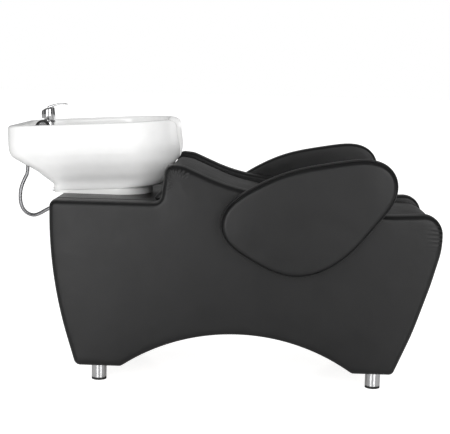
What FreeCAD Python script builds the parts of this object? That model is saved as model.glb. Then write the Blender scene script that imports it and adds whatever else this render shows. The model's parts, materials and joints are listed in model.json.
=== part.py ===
import FreeCAD, Part
import math
import os
import re
import types
import Sketcher
from FreeCAD import Placement, Rotation, Vector

# Hair washing bed: an upholstered bed on four short feet with a tilting ceramic basin at its head end.
# Millimetres. X runs from the basin to the knees, Y from the client's right to the left, Z up.
# The origin is under the middle of the whole unit, on the floor.

doc = FreeCAD.newDocument("HairWashingBed")
sheet = doc.addObject("Spreadsheet::Sheet", "Sizes")

SIZES = (
    # Cuts and clearances
    ("overrun", 10),
    ("soft_gap", 0.3),
    ("run_gap", 0.05),
    # Body of the bed
    ("body_rear", -549),
    ("body_length", 1256),
    ("body_height", 646),
    ("underside_height", 60),
    ("platform_height", 589),
    ("seat_width", 450),
    ("panel_thickness", 75),
    ("panel_round", 20),
    ("panel_inner_round", 9),
    ("core_thickness", 50),
    ("core_margin", 20),
    # Boards between the two sides
    ("reveal", 12),
    ("board_thickness", 16),
    ("cover_thickness", 14),
    ("cover_lip", 10),
    ("cover_lip_depth", 23),
    ("cover_round", 17),
    ("rear_panel_return", 40),
    ("knee_panel_reach", 190),
    ("plumbing_length", 150),
    ("plumbing_width", 120),
    ("stretcher_height", 80),
    ("rear_stretcher_place", 250),
    ("knee_stretcher_place", 1040),
    ("batten_size", 25),
    # Seat and back
    ("seat_crease", 868),
    ("seat_height", 473),
    ("seat_board_front", 1226),
    ("back_foot_height", 442),
    ("neck_seat_end", 415),
    ("neck_overhang", 66),
    ("back_thickness", 80),
    ("seat_thickness", 55.5),
    ("seat_set_back", 4.4),
    ("crease_round", 18),
    ("cushion_crown", 24),
    ("cushion_gap", 1),
    # Armrests
    ("armrest_place", 552),
    ("armrest_base", 375),
    ("armrest_length", 541),
    ("armrest_height", 370),
    ("armrest_gap", 8),
    ("armrest_thickness", 57),
    ("armrest_board_thickness", 15),
    ("spacer_radius", 22),
    ("bolt_radius", 4),
    ("bolt_head_radius", 8),
    ("bolt_head_height", 5),
    ("front_bolt_place", 960),
    ("rear_bolt_place", 770),
    ("bolt_height", 520),
    # Feet
    ("foot_radius", 24),
    ("foot_wall", 2),
    ("glide_height", 8),
    ("glide_plug_height", 14),
    ("foot_inset", 20),
    ("rear_foot_place", 158),
    ("knee_foot_place", 1048),
    ("foot_plug_height", 14),
    ("stud_radius", 5),
    ("stud_reach", 45),
    ("set_screw_radius", 2.5),
    ("set_screw_drop", 8),
    # Basin, in its own level frame whose origin is the rear bottom edge of its foot
    ("basin_place", -571),
    ("basin_lift", 8),
    ("basin_tilt", 3.3),
    ("basin_reach", 124),
    ("basin_length", 548),
    ("basin_width", 486),
    ("rim_height", 217),
    ("basin_wall", 18),
    ("deck_drop", 42),
    ("deck_thickness", 18),
    ("deck_pocket_front", 3),
    ("deck_pocket_width", 330),
    ("hollow_rear", 26),
    ("basin_floor", 30),
    ("foot_ring_wall", 22),
    ("foot_ring_depth", 12),
    ("notch_radius", 95),
    ("notch_centre", 195),
    ("notch_lip_width", 17),
    ("notch_lip_thickness", 34),
    ("notch_lip_reach", 7),
    # Plinth and tilt hinge
    ("plinth_hole_radius", 62),
    ("plinth_screw_radius", 2.5),
    ("plinth_screw_inset", 24),
    ("knuckle_radius", 4.5),
    ("hinge_pin_radius", 2.5),
    ("hinge_length", 120),
    ("hinge_middle", 48),
    ("hinge_leaf", 2),
    ("hinge_leaf_height", 20),
    ("hinge_plate_reach", 40),
    # Waste
    ("waste_place", 172),
    ("waste_radius", 19),
    ("waste_tail_radius", 18.5),
    ("waste_bore", 16),
    ("waste_flange_radius", 34),
    ("waste_flange_thickness", 3),
    ("waste_seal_thickness", 2),
    ("waste_drop", 36),
    ("waste_nut_radius", 30),
    ("waste_nut_height", 8),
    ("strainer_radius", 28),
    ("strainer_stem_radius", 4),
    ("strainer_stem", 26),
    ("strainer_dome", 7),
    # Mixer
    ("mixer_place", 22),
    ("mixer_radius", 22.5),
    ("mixer_base_radius", 26),
    ("mixer_base_height", 4),
    ("mixer_height", 58),
    ("shank_radius", 15),
    ("shank_drop", 30),
    ("mixer_nut_radius", 17),
    ("mixer_nut_height", 6),
    ("inlet_radius", 5),
    ("inlet_drop", 30),
    ("inlet_spacing", 6.5),
    ("collar_height", 1.5),
    ("pivot_rise", 11.5),
    ("ball_radius", 11),
    ("ball_gap", 0.4),
    ("stem_radius", 9),
    ("stem_room", 14),
    ("cap_rise", 24),
    ("cap_edge", 3),
    ("cap_slope", 9),
    ("lever_reach", 68),
    ("lever_width", 18),
    ("lever_thickness", 5),
    ("lever_drop", 7),
    # Hand shower
    ("shower_place", 78),
    ("shower_side", 115),
    ("socket_radius", 13),
    ("socket_flange_radius", 16),
    ("socket_flange_thickness", 3),
    ("socket_drop", 30),
    ("handle_radius", 10.5),
    ("handle_length", 62),
    ("shoulder_radius", 13),
    ("shoulder_height", 4),
    ("hose_nut_radius", 9.5),
    ("hose_nut_height", 14),
    ("neck_radius", 8.5),
    ("head_forward", 42),
    ("head_rise", 32),
    ("head_radius", 24),
    ("head_thickness", 18),
    ("head_tilt", 25),
    ("spray_radius", 16),
    ("spray_dome", 3),
    ("nozzle_radius", 0.9),
    ("nozzle_depth", 2),
    ("nozzle_circle", 10),
    # Shower hose
    ("hose_radius", 6),
    ("riser_length", 20),
    ("inlet_height", 551),
    ("inlet_inset", 58),
    ("hose_inlet_radius", 7),
    ("hose_inlet_flange", 10),
    ("hose_inlet_thickness", 3),
    ("hose_inlet_tail", 40),
)

for row, (alias, number) in enumerate(SIZES, 1):
    sheet.set(f"A{row}", alias)
    sheet.set(f"B{row}", str(number))
    sheet.setAlias(f"B{row}", alias)
doc.recompute()
ALIASES = {alias for alias, number in SIZES}
v = types.SimpleNamespace(**{alias: float(sheet.get(alias)) for alias in ALIASES})

HALF_SHARE = 0.5
NOZZLES = 8
INLETS = 3
SIDES = (("right", -1), ("left", 1))
PIECES = []


def formula(text):
    """Put the sheet's name in front of every size that an expression names."""
    return re.sub(r"[a-z]\w*", lambda word: f"Sizes.{word[0]}" if word[0] in ALIASES else word[0], text)


def bind(thing, formulas):
    """Tie properties of an object to the sheet."""
    for name, text in formulas.items():
        thing.setExpression(name, formula(text))


def piece(thing, label):
    """Name a finished piece and list it for writing."""
    thing.Label = label
    PIECES.append(thing)
    return thing


def add(kind, name):
    return doc.addObject(kind, name)


def block(name, along, across, up):
    """A board: each direction is a pair of formulas, where it starts and where it ends."""
    board = add("Part::Box", name)
    sides = (("Length", "x", along), ("Width", "y", across), ("Height", "z", up))
    for side, axis, (start, end) in sides:
        bind(board, {side: f"({end}) - ({start})", f"Placement.Base.{axis}": start})
    return board


TURNS = {
    "x": Rotation(Vector(0, 1, 0), 90),
    "y": Rotation(Vector(1, 0, 0), -90),
    "z": Rotation(),
}


def rod(name, axis, radius, span, at):
    """A round bar along one axis: span is its start and end, at its place on the other two axes."""
    bar = add("Part::Cylinder", name)
    bar.Placement = Placement(Vector(), TURNS[axis])
    start, end = span
    others = [letter for letter in "xyz" if letter != axis]
    bind(bar, {"Radius": radius, "Height": f"({end}) - ({start})", f"Placement.Base.{axis}": start})
    bind(bar, {f"Placement.Base.{letter}": text for letter, text in zip(others, at)})
    return bar


def join(name, things):
    both = add("Part::MultiFuse", name)
    both.Shapes = things
    return both


def cut(name, base, tools):
    result = add("Part::Cut", name)
    result.Base = base
    result.Tool = tools[0] if len(tools) == 1 else join(name + "_tools", tools)
    return result


def common(name, base, tool):
    result = add("Part::Common", name)
    result.Base = base
    result.Tool = tool
    return result


def side_span(sign, near, far):
    """The pair of formulas from near to far of the mid-plane, on the chosen side."""
    return (near, far) if sign > 0 else (f"-({far})", f"-({near})")


def rounded_edges(corners):
    """Straight runs joined by tangent arcs, through corners given as (u, v, radius)."""
    count = len(corners)
    points = [Vector(u, w, 0) for u, w, radius in corners]
    arcs = []
    for i, (u, w, radius) in enumerate(corners):
        before = (points[i - 1] - points[i]).normalize()
        after = (points[(i + 1) % count] - points[i]).normalize()
        half = before.getAngle(after) / 2
        reach = radius / math.tan(half)
        middle = points[i] + (before + after).normalize() * (radius / math.sin(half) - radius)
        arcs.append((points[i] + before * reach, middle, points[i] + after * reach))
    edges = []
    for i, (start, middle, end) in enumerate(arcs):
        edges.append(Part.Arc(start, middle, end))
        edges.append(Part.LineSegment(end, arcs[(i + 1) % count][0]))
    return edges


def draw(sketch, corners):
    for edge in rounded_edges(corners):
        sketch.addGeometry(edge, False)
    return sketch


def side_sketch(name, corners, across="0"):
    """An outline seen from the side, on a vertical plane at the given place across."""
    sketch = add("Sketcher::SketchObject", name)
    draw(sketch, corners)
    sketch.Placement = Placement(Vector(), Rotation(Vector(1, 0, 0), 90))
    bind(sketch, {"Placement.Base.y": across})
    return sketch


def slab(name, sketch, span):
    """A side outline given its thickness across the unit."""
    solid = add("Part::Extrusion", name)
    solid.Base = sketch
    solid.DirMode = "Custom"
    solid.Dir = Vector(0, 1, 0)
    solid.Solid = True
    start, end = span
    bind(solid, {"LengthFwd": f"({end}) - ({start})", "Placement.Base.y": start})
    return solid


def inset(name, sketch, distance):
    """The same outline, drawn in by a named distance."""
    inner = add("Part::Offset2D", name)
    inner.Source = sketch
    bind(inner, {"Value": f"-({distance})"})
    return inner


def rounded(name, solid, rules):
    """Round edges: each rule is a radius and a test that picks the edges."""
    doc.recompute()
    chosen = []
    for number, edge in enumerate(solid.Shape.Edges, 1):
        for radius, wanted in rules:
            if wanted(edge):
                chosen.append((number, radius, radius))
                break
    result = add("Part::Fillet", name)
    result.Base = solid
    result.Edges = chosen
    return result


def lies_at(axis, place):
    """A test for edges that lie wholly in the plane across one axis at one place."""
    def wanted(edge):
        return all(abs(getattr(vertex.Point, axis) - place) < 0.01 for vertex in edge.Vertexes)
    return wanted


def sketch_on(body, role, offset=0.0):
    """A sketch on one of the body's own planes, moved along the plane's normal."""
    sketch = body.newObject("Sketcher::SketchObject", body.Name + "_sketch")
    plane = next(item for item in body.Origin.OriginFeatures if item.Role == role)
    sketch.AttachmentSupport = [(plane, "")]
    sketch.MapMode = "FlatFace"
    sketch.AttachmentOffset = Placement(Vector(0, 0, offset), Rotation())
    return sketch


def closed_profile(sketch, points):
    """A closed outline of straight lines whose corners are tied to the sheet by formulas."""
    count = len(points)
    spots = [Vector(1 + i % 2, i, 0) for i in range(count)]
    for i in range(count):
        sketch.addGeometry(Part.LineSegment(spots[i], spots[(i + 1) % count]), False)
    for i in range(count):
        sketch.addConstraint(Sketcher.Constraint("Coincident", i, 2, (i + 1) % count, 1))
    for i, (u, w) in enumerate(points):
        for kind, text, start in (("DistanceX", u, spots[i].x), ("DistanceY", w, spots[i].y)):
            number = sketch.addConstraint(Sketcher.Constraint(kind, -1, 1, i, 1, start))
            sketch.setExpression(f"Constraints[{number}]", formula(text))
    return sketch


def turned(name, points):
    """A turned piece: its half profile, as (radius, height) formulas, spun round the upright axis."""
    body = add("PartDesign::Body", name)
    sketch = closed_profile(sketch_on(body, "XZ_Plane"), points)
    doc.recompute()
    spin = body.newObject("PartDesign::Revolution", name + "_spin")
    spin.Profile = sketch
    spin.ReferenceAxis = (sketch, ["V_Axis"])
    spin.Angle = 360
    return body


def tube_points(inner, outer, bottom, top):
    return [(inner, bottom), (outer, bottom), (outer, top), (inner, top)]


# The side outline

panel_outer = "seat_width / 2 + panel_thickness"


def along(share):
    return v.body_rear + share * v.body_length


def up(share):
    return v.underside_height + share * v.body_height


def body_corners(rows):
    return [(along(x), up(z), radius * v.body_height) for x, z, radius in rows]


platform_share = (v.platform_height - v.underside_height) / v.body_height

# Each row is a corner: its place along the body, its height and its corner radius, as shares of
# the body's length and height. The outline runs from the rear bottom corner over the top.
side_outline_shares = (
    (0.068, 0.000, 0.034),
    (0.000, 0.430, 2.150),
    (0.000, platform_share, 0.034),
    (0.276, platform_share, 0.038),
    (0.2985, 1.010, 0.027),
    (0.338, 0.999, 0.124),
    (0.452, 0.903, 0.929),
    (0.848, 0.770, 0.619),
    (1.002, 0.799, 0.096),
    (0.998, 0.626, 0.400),
    (0.970, 0.443, 1.600),
    (0.927, 0.201, 1.600),
    (0.881, 0.000, 0.028),
    (0.778, 0.000, 0.019),
    (0.480, 0.367, 1.010),
    (0.185, 0.000, 0.019),
)

side_outline = side_sketch("side_outline", body_corners(side_outline_shares))
core_outline = inset("core_outline", side_outline, "core_margin")
face_outline = inset("face_outline", side_outline, "reveal")
back_of_face_outline = inset("back_of_face_outline", side_outline, "reveal + board_thickness")
foot_places = (("rear", "body_rear + rear_foot_place"), ("knee", "body_rear + knee_foot_place"))
bolt_places = (("rear", "body_rear + rear_bolt_place"), ("front", "body_rear + front_bolt_place"))
foot_across = "seat_width / 2 + foot_inset"

# Side panels: a timber core let into a thick padded skin, one each side

for side, sign in SIDES:
    outer_y = sign * (v.seat_width / 2 + v.panel_thickness)
    inner_y = sign * v.seat_width / 2
    plain = slab(f"{side}_pad_block", side_outline, side_span(sign, "seat_width / 2", panel_outer))
    rules = ((v.panel_round, lies_at("y", outer_y)), (v.panel_inner_round, lies_at("y", inner_y)))
    soft = rounded(f"{side}_pad_round", plain, rules)
    core_span = side_span(sign, "seat_width / 2", "seat_width / 2 + core_thickness")
    room_span = side_span(sign, "seat_width / 2 - overrun", "seat_width / 2 + core_thickness")
    room = slab(f"{side}_core_room", core_outline, room_span)
    core = slab(f"{side}_core_block", core_outline, core_span)
    bolt_span = side_span(sign, "seat_width / 2 - overrun", f"{panel_outer} + overrun")
    bolt_holes = [rod(f"{side}_{end}_bolt_hole", "y", "bolt_radius", bolt_span, (x, "bolt_height"))
                  for end, x in bolt_places]
    stud_span = ("underside_height - overrun", "underside_height + stud_reach")
    stud_holes = [rod(f"{side}_{end}_stud_hole", "z", "stud_radius", stud_span, (x, f"{sign} * ({foot_across})"))
                  for end, x in foot_places]
    head_span = side_span(sign, "seat_width / 2 - overrun", "seat_width / 2 + bolt_head_height")
    head_rooms = [rod(f"{side}_{end}_head_room", "y", "bolt_head_radius", head_span, (x, "bolt_height"))
                  for end, x in bolt_places]
    piece(cut(f"{side}_pad", soft, [room] + bolt_holes + stud_holes), f"{side}_side_pad")
    piece(cut(f"{side}_core", core, bolt_holes + head_rooms + stud_holes), f"{side}_side_core")

# Boards between the sides

middle = ("-seat_width / 2", "seat_width / 2")
neck_end = "body_rear + neck_seat_end"
board_top = "platform_height - cover_thickness"
board_foot = f"{board_top} - board_thickness"
face = slab("face_block", face_outline, middle)
face_back = slab("face_back", back_of_face_outline, middle)
skin = cut("face_skin", face, [face_back])
inlet_at = ("-(seat_width / 2 - inlet_inset)", "inlet_height")

rear_zone = block("rear_zone", ("body_rear", "body_rear + 0.073 * body_length + rear_panel_return"),
                  middle, ("underside_height", board_foot))
hose_hole = rod("hose_hole", "x", "hose_inlet_radius",
                ("body_rear - overrun", "body_rear + reveal + board_thickness + overrun"), inlet_at)
piece(cut("rear_board", common("rear_skin", skin, rear_zone), [hose_hole]), "rear_panel")

knee_zone = block("knee_zone", ("body_rear + body_length - knee_panel_reach", "body_rear + body_length"),
                  middle, ("underside_height", "seat_height - board_thickness"))
piece(common("knee_board", skin, knee_zone), "knee_panel")

plumbing = block("plumbing",
                 ("basin_place + waste_place - plumbing_length / 2",
                  "basin_place + waste_place + plumbing_length / 2"),
                 ("-plumbing_width / 2", "plumbing_width / 2"),
                 (f"{board_foot} - overrun", "platform_height + overrun"))
platform = block("platform_block", ("body_rear + reveal", neck_end), middle, (board_foot, board_top))
cover_corners = [
    (v.body_rear + v.reveal - v.cover_lip, v.platform_height, v.cover_round),
    (v.body_rear + v.neck_seat_end, v.platform_height, v.cover_lip / 2),
    (v.body_rear + v.neck_seat_end, v.platform_height - v.cover_thickness, v.soft_gap / 2),
    (v.body_rear + v.reveal - v.soft_gap, v.platform_height - v.cover_thickness, v.soft_gap / 2),
    (v.body_rear + v.reveal - v.soft_gap, v.platform_height - v.cover_lip_depth, v.cover_lip / 4),
    (v.body_rear + v.reveal - v.cover_lip, v.platform_height - v.cover_lip_depth, v.cover_lip / 4),
]
cover = slab("cover_block", side_sketch("cover_outline", cover_corners), middle)

for end, place, base in (("rear", "rear_stretcher_place", "underside_height + core_margin"),
                         ("knee", "knee_stretcher_place", "underside_height + core_margin")):
    x = f"body_rear + {place}"
    piece(block(f"{end}_rail", (x, f"{x} + board_thickness"), middle, (base, f"{base} + stretcher_height")),
          f"{end}_stretcher")

# Seat and back boards with their battens

crease = "body_rear + seat_crease"
seat_front = "body_rear + seat_board_front"
seat_under = "seat_height - board_thickness"
piece(block("seat_plank", (crease, seat_front), middle, (seat_under, "seat_height")), "seat_board")

crease_x = v.body_rear + v.seat_crease
neck_x = v.body_rear + v.neck_seat_end
board_round = v.board_thickness / 10
back_corners = [
    (neck_x, v.platform_height, board_round),
    (crease_x, v.back_foot_height, board_round),
    (crease_x, v.back_foot_height - v.board_thickness, board_round),
    (neck_x, v.platform_height - v.board_thickness, board_round),
]
piece(slab("back_plank", side_sketch("back_board_outline", back_corners), middle), "back_board")

back_slope = (v.back_foot_height - v.platform_height) / (crease_x - neck_x)


def under_back(x):
    """The height of the back board's underside at a place along the unit."""
    return v.platform_height - v.board_thickness + (x - neck_x) * back_slope


for side, sign in SIDES:
    across = side_span(sign, "seat_width / 2 - batten_size", "seat_width / 2")
    piece(block(f"{side}_seat_strip", (crease, f"{seat_front} - batten_size"), across,
                (f"{seat_under} - batten_size", seat_under)), f"{side}_seat_batten")
    start_x = neck_x + v.batten_size
    end_x = crease_x - v.batten_size
    strip = [
        (start_x, under_back(start_x), board_round),
        (end_x, under_back(end_x), board_round),
        (end_x, under_back(end_x) - v.batten_size, board_round),
        (start_x, under_back(start_x) - v.batten_size, board_round),
    ]
    outline = side_sketch(f"{side}_back_strip_outline", strip)
    piece(slab(f"{side}_back_strip", outline, across), f"{side}_back_batten")

# Cushions: side profiles that sink and draw in towards both panels, joined into one crowned form.
# Shares along the back: from the neck end to the crease; along the seat: from the crease to the
# knees. Shares up and corner radii: of the body's height.

back_cushion_shares = (
    (-0.0530, 0.999, 0.031),
    (0.0266, 0.992, 0.093),
    (0.3481, 0.904, 0.700),
    (0.5755, 0.875, 0.450),
)
seat_cushion_shares = (
    (0.5144, 0.782, 0.230),
    (1.0000, 0.801, 0.086),
)
crown_shares = ((-1.0, 1.0), (-0.93, 0.62), (-0.62, 0.16), (0.0, 0.0), (0.62, 0.16), (0.93, 0.62), (1.0, 1.0))
CUSHION_HALF = "(seat_width / 2 - soft_gap)"


def cushion(name, base, top):
    """A crowned cushion: one profile at several places across, with its top lower towards the sides."""
    sections = []
    for number, (across, drop) in enumerate(crown_shares):
        lowered = base + [(x, z - drop * v.cushion_crown, radius) for x, z, radius in top]
        sections.append(side_sketch(f"{name}_section_{number}", lowered, f"{across} * {CUSHION_HALF}"))
    loft = add("Part::Loft", name + "_form")
    loft.Sections = sections
    loft.Solid = True
    loft.Ruled = False
    return piece(loft, name)


def cushion_corners(rows, start, end):
    return [(start + x * (end - start), up(z), radius * v.body_height) for x, z, radius in rows]


board_lift = v.soft_gap / math.cos(math.atan(back_slope))
back_end = crease_x - v.cushion_gap
back_base = [
    (back_end, v.back_foot_height + board_lift - v.cushion_gap * back_slope, v.cushion_crown / 3),
    (neck_x + v.soft_gap, v.platform_height + board_lift, v.cushion_crown / 3),
    (neck_x - v.neck_overhang, v.platform_height + v.soft_gap, v.cushion_crown / 3),
]
back_top = cushion_corners(back_cushion_shares, neck_x, crease_x)
back_top.append((back_end, v.back_foot_height + v.back_thickness, v.crease_round))
cushion("back_cushion", back_base, back_top)
knee_x = v.body_rear + v.body_length
seat_start = crease_x + v.cushion_gap
seat_end = knee_x - v.seat_set_back
seat_base = [
    (seat_end, v.seat_height + v.soft_gap, v.cushion_crown / 2),
    (seat_start, v.seat_height + v.soft_gap, v.cushion_crown / 4),
]
seat_top = [(seat_start, v.seat_height + v.seat_thickness, v.crease_round)]
seat_top += cushion_corners(seat_cushion_shares, crease_x, knee_x)
cushion("seat_cushion", seat_base, seat_top)

# Armrests: an egg-shaped padded pad on a board, held off the side panel by two spacers

armrest_shares = (
    (-0.021, 0.521, 0.226),
    (0.298, 0.880, 1.464),
    (0.736, 0.993, 1.383),
    (1.013, 1.010, 0.225),
    (0.995, 0.671, 0.261),
    (0.736, 0.180, 0.701),
    (0.518, -0.006, 0.324),
    (0.314, 0.010, 0.388),
    (0.025, 0.262, 0.194),
)
pad_depth_shares = ((0.00, 0.965), (0.12, 1.0), (0.80, 1.0), (0.93, 0.975), (1.00, 0.86))
BOARD_SHARE = 0.80


def armrest_corners(scale):
    """The armrest's outline, drawn in towards its middle by a scale."""
    return [((HALF_SHARE + (x - HALF_SHARE) * scale) * v.armrest_length + v.body_rear + v.armrest_place,
             (HALF_SHARE + (z - HALF_SHARE) * scale) * v.armrest_height + v.armrest_base,
             radius * scale * v.armrest_height) for x, z, radius in armrest_shares]


for side, sign in SIDES:
    sections = []
    for number, (depth, scale) in enumerate(pad_depth_shares):
        sketch = side_sketch(f"{side}_armrest_section_{number}", armrest_corners(scale),
                             f"{sign} * ({panel_outer} + armrest_gap + {depth} * armrest_thickness)")
        sections.append(sketch)
    form = add("Part::Loft", f"{side}_armrest_form")
    form.Sections = sections
    form.Solid = True
    form.Ruled = True
    board_sketch = side_sketch(f"{side}_armrest_board_outline", armrest_corners(BOARD_SHARE))
    gap_start = f"{panel_outer} + armrest_gap"
    board_end = f"{gap_start} + armrest_board_thickness"
    room = slab(f"{side}_armrest_room", board_sketch, side_span(sign, f"{gap_start} - overrun", board_end))
    board = slab(f"{side}_armrest_plank", board_sketch, side_span(sign, gap_start, board_end))
    piece(cut(f"{side}_armrest_skin", form, [room]), f"{side}_armrest_pad")
    shanks = []
    spacers = []
    for end, x in bolt_places:
        at = (x, "bolt_height")
        shank = side_span(sign, "seat_width / 2", board_end)
        head = side_span(sign, "seat_width / 2", "seat_width / 2 + bolt_head_height")
        bore = side_span(sign, f"{panel_outer} - overrun", f"{gap_start} + overrun")
        shanks.append(rod(f"{side}_{end}_bolt_shank", "y", "bolt_radius", shank, at))
        shanks.append(rod(f"{side}_{end}_bolt_head", "y", "bolt_head_radius", head, at))
        disc = rod(f"{side}_{end}_spacer_disc", "y", "spacer_radius", side_span(sign, panel_outer, gap_start), at)
        hole = rod(f"{side}_{end}_spacer_hole", "y", "bolt_radius", bore, at)
        spacers.append(cut(f"{side}_{end}_spacer_ring", disc, [hole]))
    piece(cut(f"{side}_armrest_body", board, shanks), f"{side}_armrest_board")
    piece(join(f"{side}_armrest_fixings", shanks), f"{side}_armrest_bolts")
    piece(join(f"{side}_armrest_standoffs", spacers), f"{side}_armrest_spacers")

# Feet: a chromed tube on a rubber glide, clamped by a set screw to a plug on a stud

tube_foot = "glide_height"
tube_bore = "foot_radius - foot_wall"
plug_foot = "underside_height - foot_plug_height"
screw_height = "underside_height - set_screw_drop"
plugs = []
set_screws = []
for end, x in foot_places:
    for side, sign in SIDES:
        name = f"{end}_{side}"
        across = f"{sign} * ({foot_across})"
        tube = turned(f"{name}_tube", tube_points(tube_bore, "foot_radius", tube_foot, "underside_height"))
        hole_span = side_span(sign, f"{foot_across} + {tube_bore} - overrun", f"{foot_across} + foot_radius + overrun")
        screw_span = side_span(sign, f"{foot_across} + {tube_bore}", f"{foot_across} + foot_radius")
        hole = rod(f"{name}_screw_hole", "y", "set_screw_radius", hole_span, (x, screw_height))
        set_screws.append(rod(f"{name}_set_screw", "y", "set_screw_radius", screw_span, (x, screw_height)))
        bind(tube, {"Placement.Base.x": x, "Placement.Base.y": across})
        piece(cut(f"{name}_foot_tube", tube, [hole]), f"{name}_foot")
        glide = turned(f"{name}_glide_turned", [
            ("0", "0"), ("foot_radius", "0"), ("foot_radius", tube_foot), (tube_bore, tube_foot),
            (tube_bore, f"{tube_foot} + glide_plug_height"), ("0", f"{tube_foot} + glide_plug_height")])
        bind(glide, {"Placement.Base.x": x, "Placement.Base.y": across})
        piece(glide, f"{name}_glide")
        plug = turned(f"{name}_plug", [
            ("0", plug_foot), (tube_bore, plug_foot), (tube_bore, "underside_height"),
            ("stud_radius", "underside_height"), ("stud_radius", "underside_height + stud_reach"),
            ("0", "underside_height + stud_reach")])
        bind(plug, {"Placement.Base.x": x, "Placement.Base.y": across})
        plugs.append(plug)
piece(join("foot_plug_group", plugs), "foot_plugs")
piece(join("set_screw_group", set_screws), "foot_set_screws")

# Basin: everything on it is placed in its own level frame, then tilted as a whole

basin_height = v.platform_height + v.soft_gap + v.basin_lift
basin_frame = Placement(Vector(v.basin_place, 0, basin_height), Rotation(Vector(0, 1, 0), -v.basin_tilt))


def on_basin(thing, x, y, z, turn=Rotation()):
    thing.Placement = basin_frame.multiply(Placement(Vector(x, y, z), turn))
    return thing


# The outside of the ceramic: height, rear end, front end and half width of each level outline,
# as shares of the rim height, the basin's length behind and before its foot, and its half width.
basin_outside_shares = (
    (0.000, 0.000, 0.588, 0.486),
    (0.100, 0.000, 0.598, 0.500),
    (0.150, -0.024, 0.607, 0.525),
    (0.235, -0.057, 0.642, 0.617),
    (0.309, -0.084, 0.686, 0.691),
    (0.424, -0.153, 0.737, 0.790),
    (0.539, -0.217, 0.759, 0.856),
    (0.673, -0.228, 0.768, 0.914),
    (1.000, -0.226, 0.774, 1.000),
)
basin_inside_shares = (
    (0.000, 0.27, 0.68, 0.33),
    (0.080, 0.19, 0.83, 0.50),
    (0.300, 0.08, 0.93, 0.74),
    (0.600, 0.02, 0.98, 0.88),
    (1.000, 0.00, 1.00, 0.95),
)
REAR_WIDTH_SHARE = 0.88
REAR_ROUND_SHARE = 0.25
FRONT_ROUND_SHARE = 0.92
DECK_HALF_SHARE = 0.945

half_basin = v.basin_width / 2
deck_height = v.rim_height - v.deck_drop
inner_rear = v.basin_wall - v.basin_reach
inner_front = v.basin_length - v.basin_reach - v.basin_wall


def plan_corners(rear, front, half, rear_width=REAR_WIDTH_SHARE):
    """A level outline: blunt at the rear, nearly a half circle at the neck end."""
    rear_half = half * rear_width
    return [
        (rear, -rear_half, half * REAR_ROUND_SHARE),
        (front, -half, half * FRONT_ROUND_SHARE),
        (front, half, half * FRONT_ROUND_SHARE),
        (rear, rear_half, half * REAR_ROUND_SHARE),
    ]


def plan_sketch(body, height, rear, front, half):
    return draw(sketch_on(body, "XY_Plane", height), plan_corners(rear, front, half))


def level_loft(body, kind, name, sections):
    loft = body.newObject(kind, name)
    loft.Profile = sections[0]
    loft.Sections = sections[1:]
    loft.Ruled = True
    doc.recompute()
    return loft


def pocket(body, sketch, length, reverse=False):
    hole = body.newObject("PartDesign::Pocket", body.Name + "_pocket")
    hole.Profile = sketch
    bind(hole, {"Length": length})
    hole.Reversed = reverse
    doc.recompute()
    return hole


bowl = add("PartDesign::Body", "bowl_body")
outside = [plan_sketch(bowl, height * v.rim_height, rear * v.basin_length, front * v.basin_length, half * half_basin)
           for height, rear, front, half in basin_outside_shares]
level_loft(bowl, "PartDesign::AdditiveLoft", "bowl_outside", outside)

# The rolled lip round the neck notch
lip_radius = v.notch_radius + v.notch_lip_width
lip_front = v.basin_length - v.basin_reach + v.notch_lip_reach
lip_sketch = sketch_on(bowl, "YZ_Plane", lip_front - v.notch_lip_thickness)
lip_arc = Part.Arc(Vector(-lip_radius, v.notch_centre, 0), Vector(0, v.notch_centre - lip_radius, 0),
                   Vector(lip_radius, v.notch_centre, 0))
lip_lines = [Vector(lip_radius, v.notch_centre, 0), Vector(lip_radius, v.rim_height, 0),
             Vector(-lip_radius, v.rim_height, 0), Vector(-lip_radius, v.notch_centre, 0)]
lip_sketch.addGeometry(lip_arc, False)
for start, end in zip(lip_lines, lip_lines[1:]):
    lip_sketch.addGeometry(Part.LineSegment(start, end), False)
lip = bowl.newObject("PartDesign::Pad", "neck_lip")
lip.Profile = lip_sketch
bind(lip, {"Length": "notch_lip_thickness"})
doc.recompute()

hollow_depth = deck_height - v.basin_floor
hollow_length = inner_front - v.hollow_rear
inner_half = half_basin - v.basin_wall
inside = [plan_sketch(bowl, v.basin_floor + height * hollow_depth, v.hollow_rear + rear * hollow_length,
                      v.hollow_rear + front * hollow_length, half * inner_half)
          for height, rear, front, half in basin_inside_shares]
level_loft(bowl, "PartDesign::SubtractiveLoft", "bowl_hollow", inside)

recess = [plan_sketch(bowl, deck_height, inner_rear, inner_front, inner_half * DECK_HALF_SHARE),
          plan_sketch(bowl, v.rim_height + v.overrun, inner_rear, inner_front, inner_half)]
level_loft(bowl, "PartDesign::SubtractiveLoft", "deck_recess", recess)

notch_sketch = sketch_on(bowl, "YZ_Plane", v.basin_length - v.basin_reach - v.notch_radius)
notch_arc = Part.Arc(Vector(-v.notch_radius, v.notch_centre, 0), Vector(0, v.notch_centre - v.notch_radius, 0),
                     Vector(v.notch_radius, v.notch_centre, 0))
notch_top = v.rim_height + v.overrun
notch_lines = [Vector(v.notch_radius, v.notch_centre, 0), Vector(v.notch_radius, notch_top, 0),
               Vector(-v.notch_radius, notch_top, 0), Vector(-v.notch_radius, v.notch_centre, 0)]
notch_sketch.addGeometry(notch_arc, False)
for start, end in zip(notch_lines, notch_lines[1:]):
    notch_sketch.addGeometry(Part.LineSegment(start, end), False)
pocket(bowl, notch_sketch, "notch_radius + notch_lip_reach + overrun", True)

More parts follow.
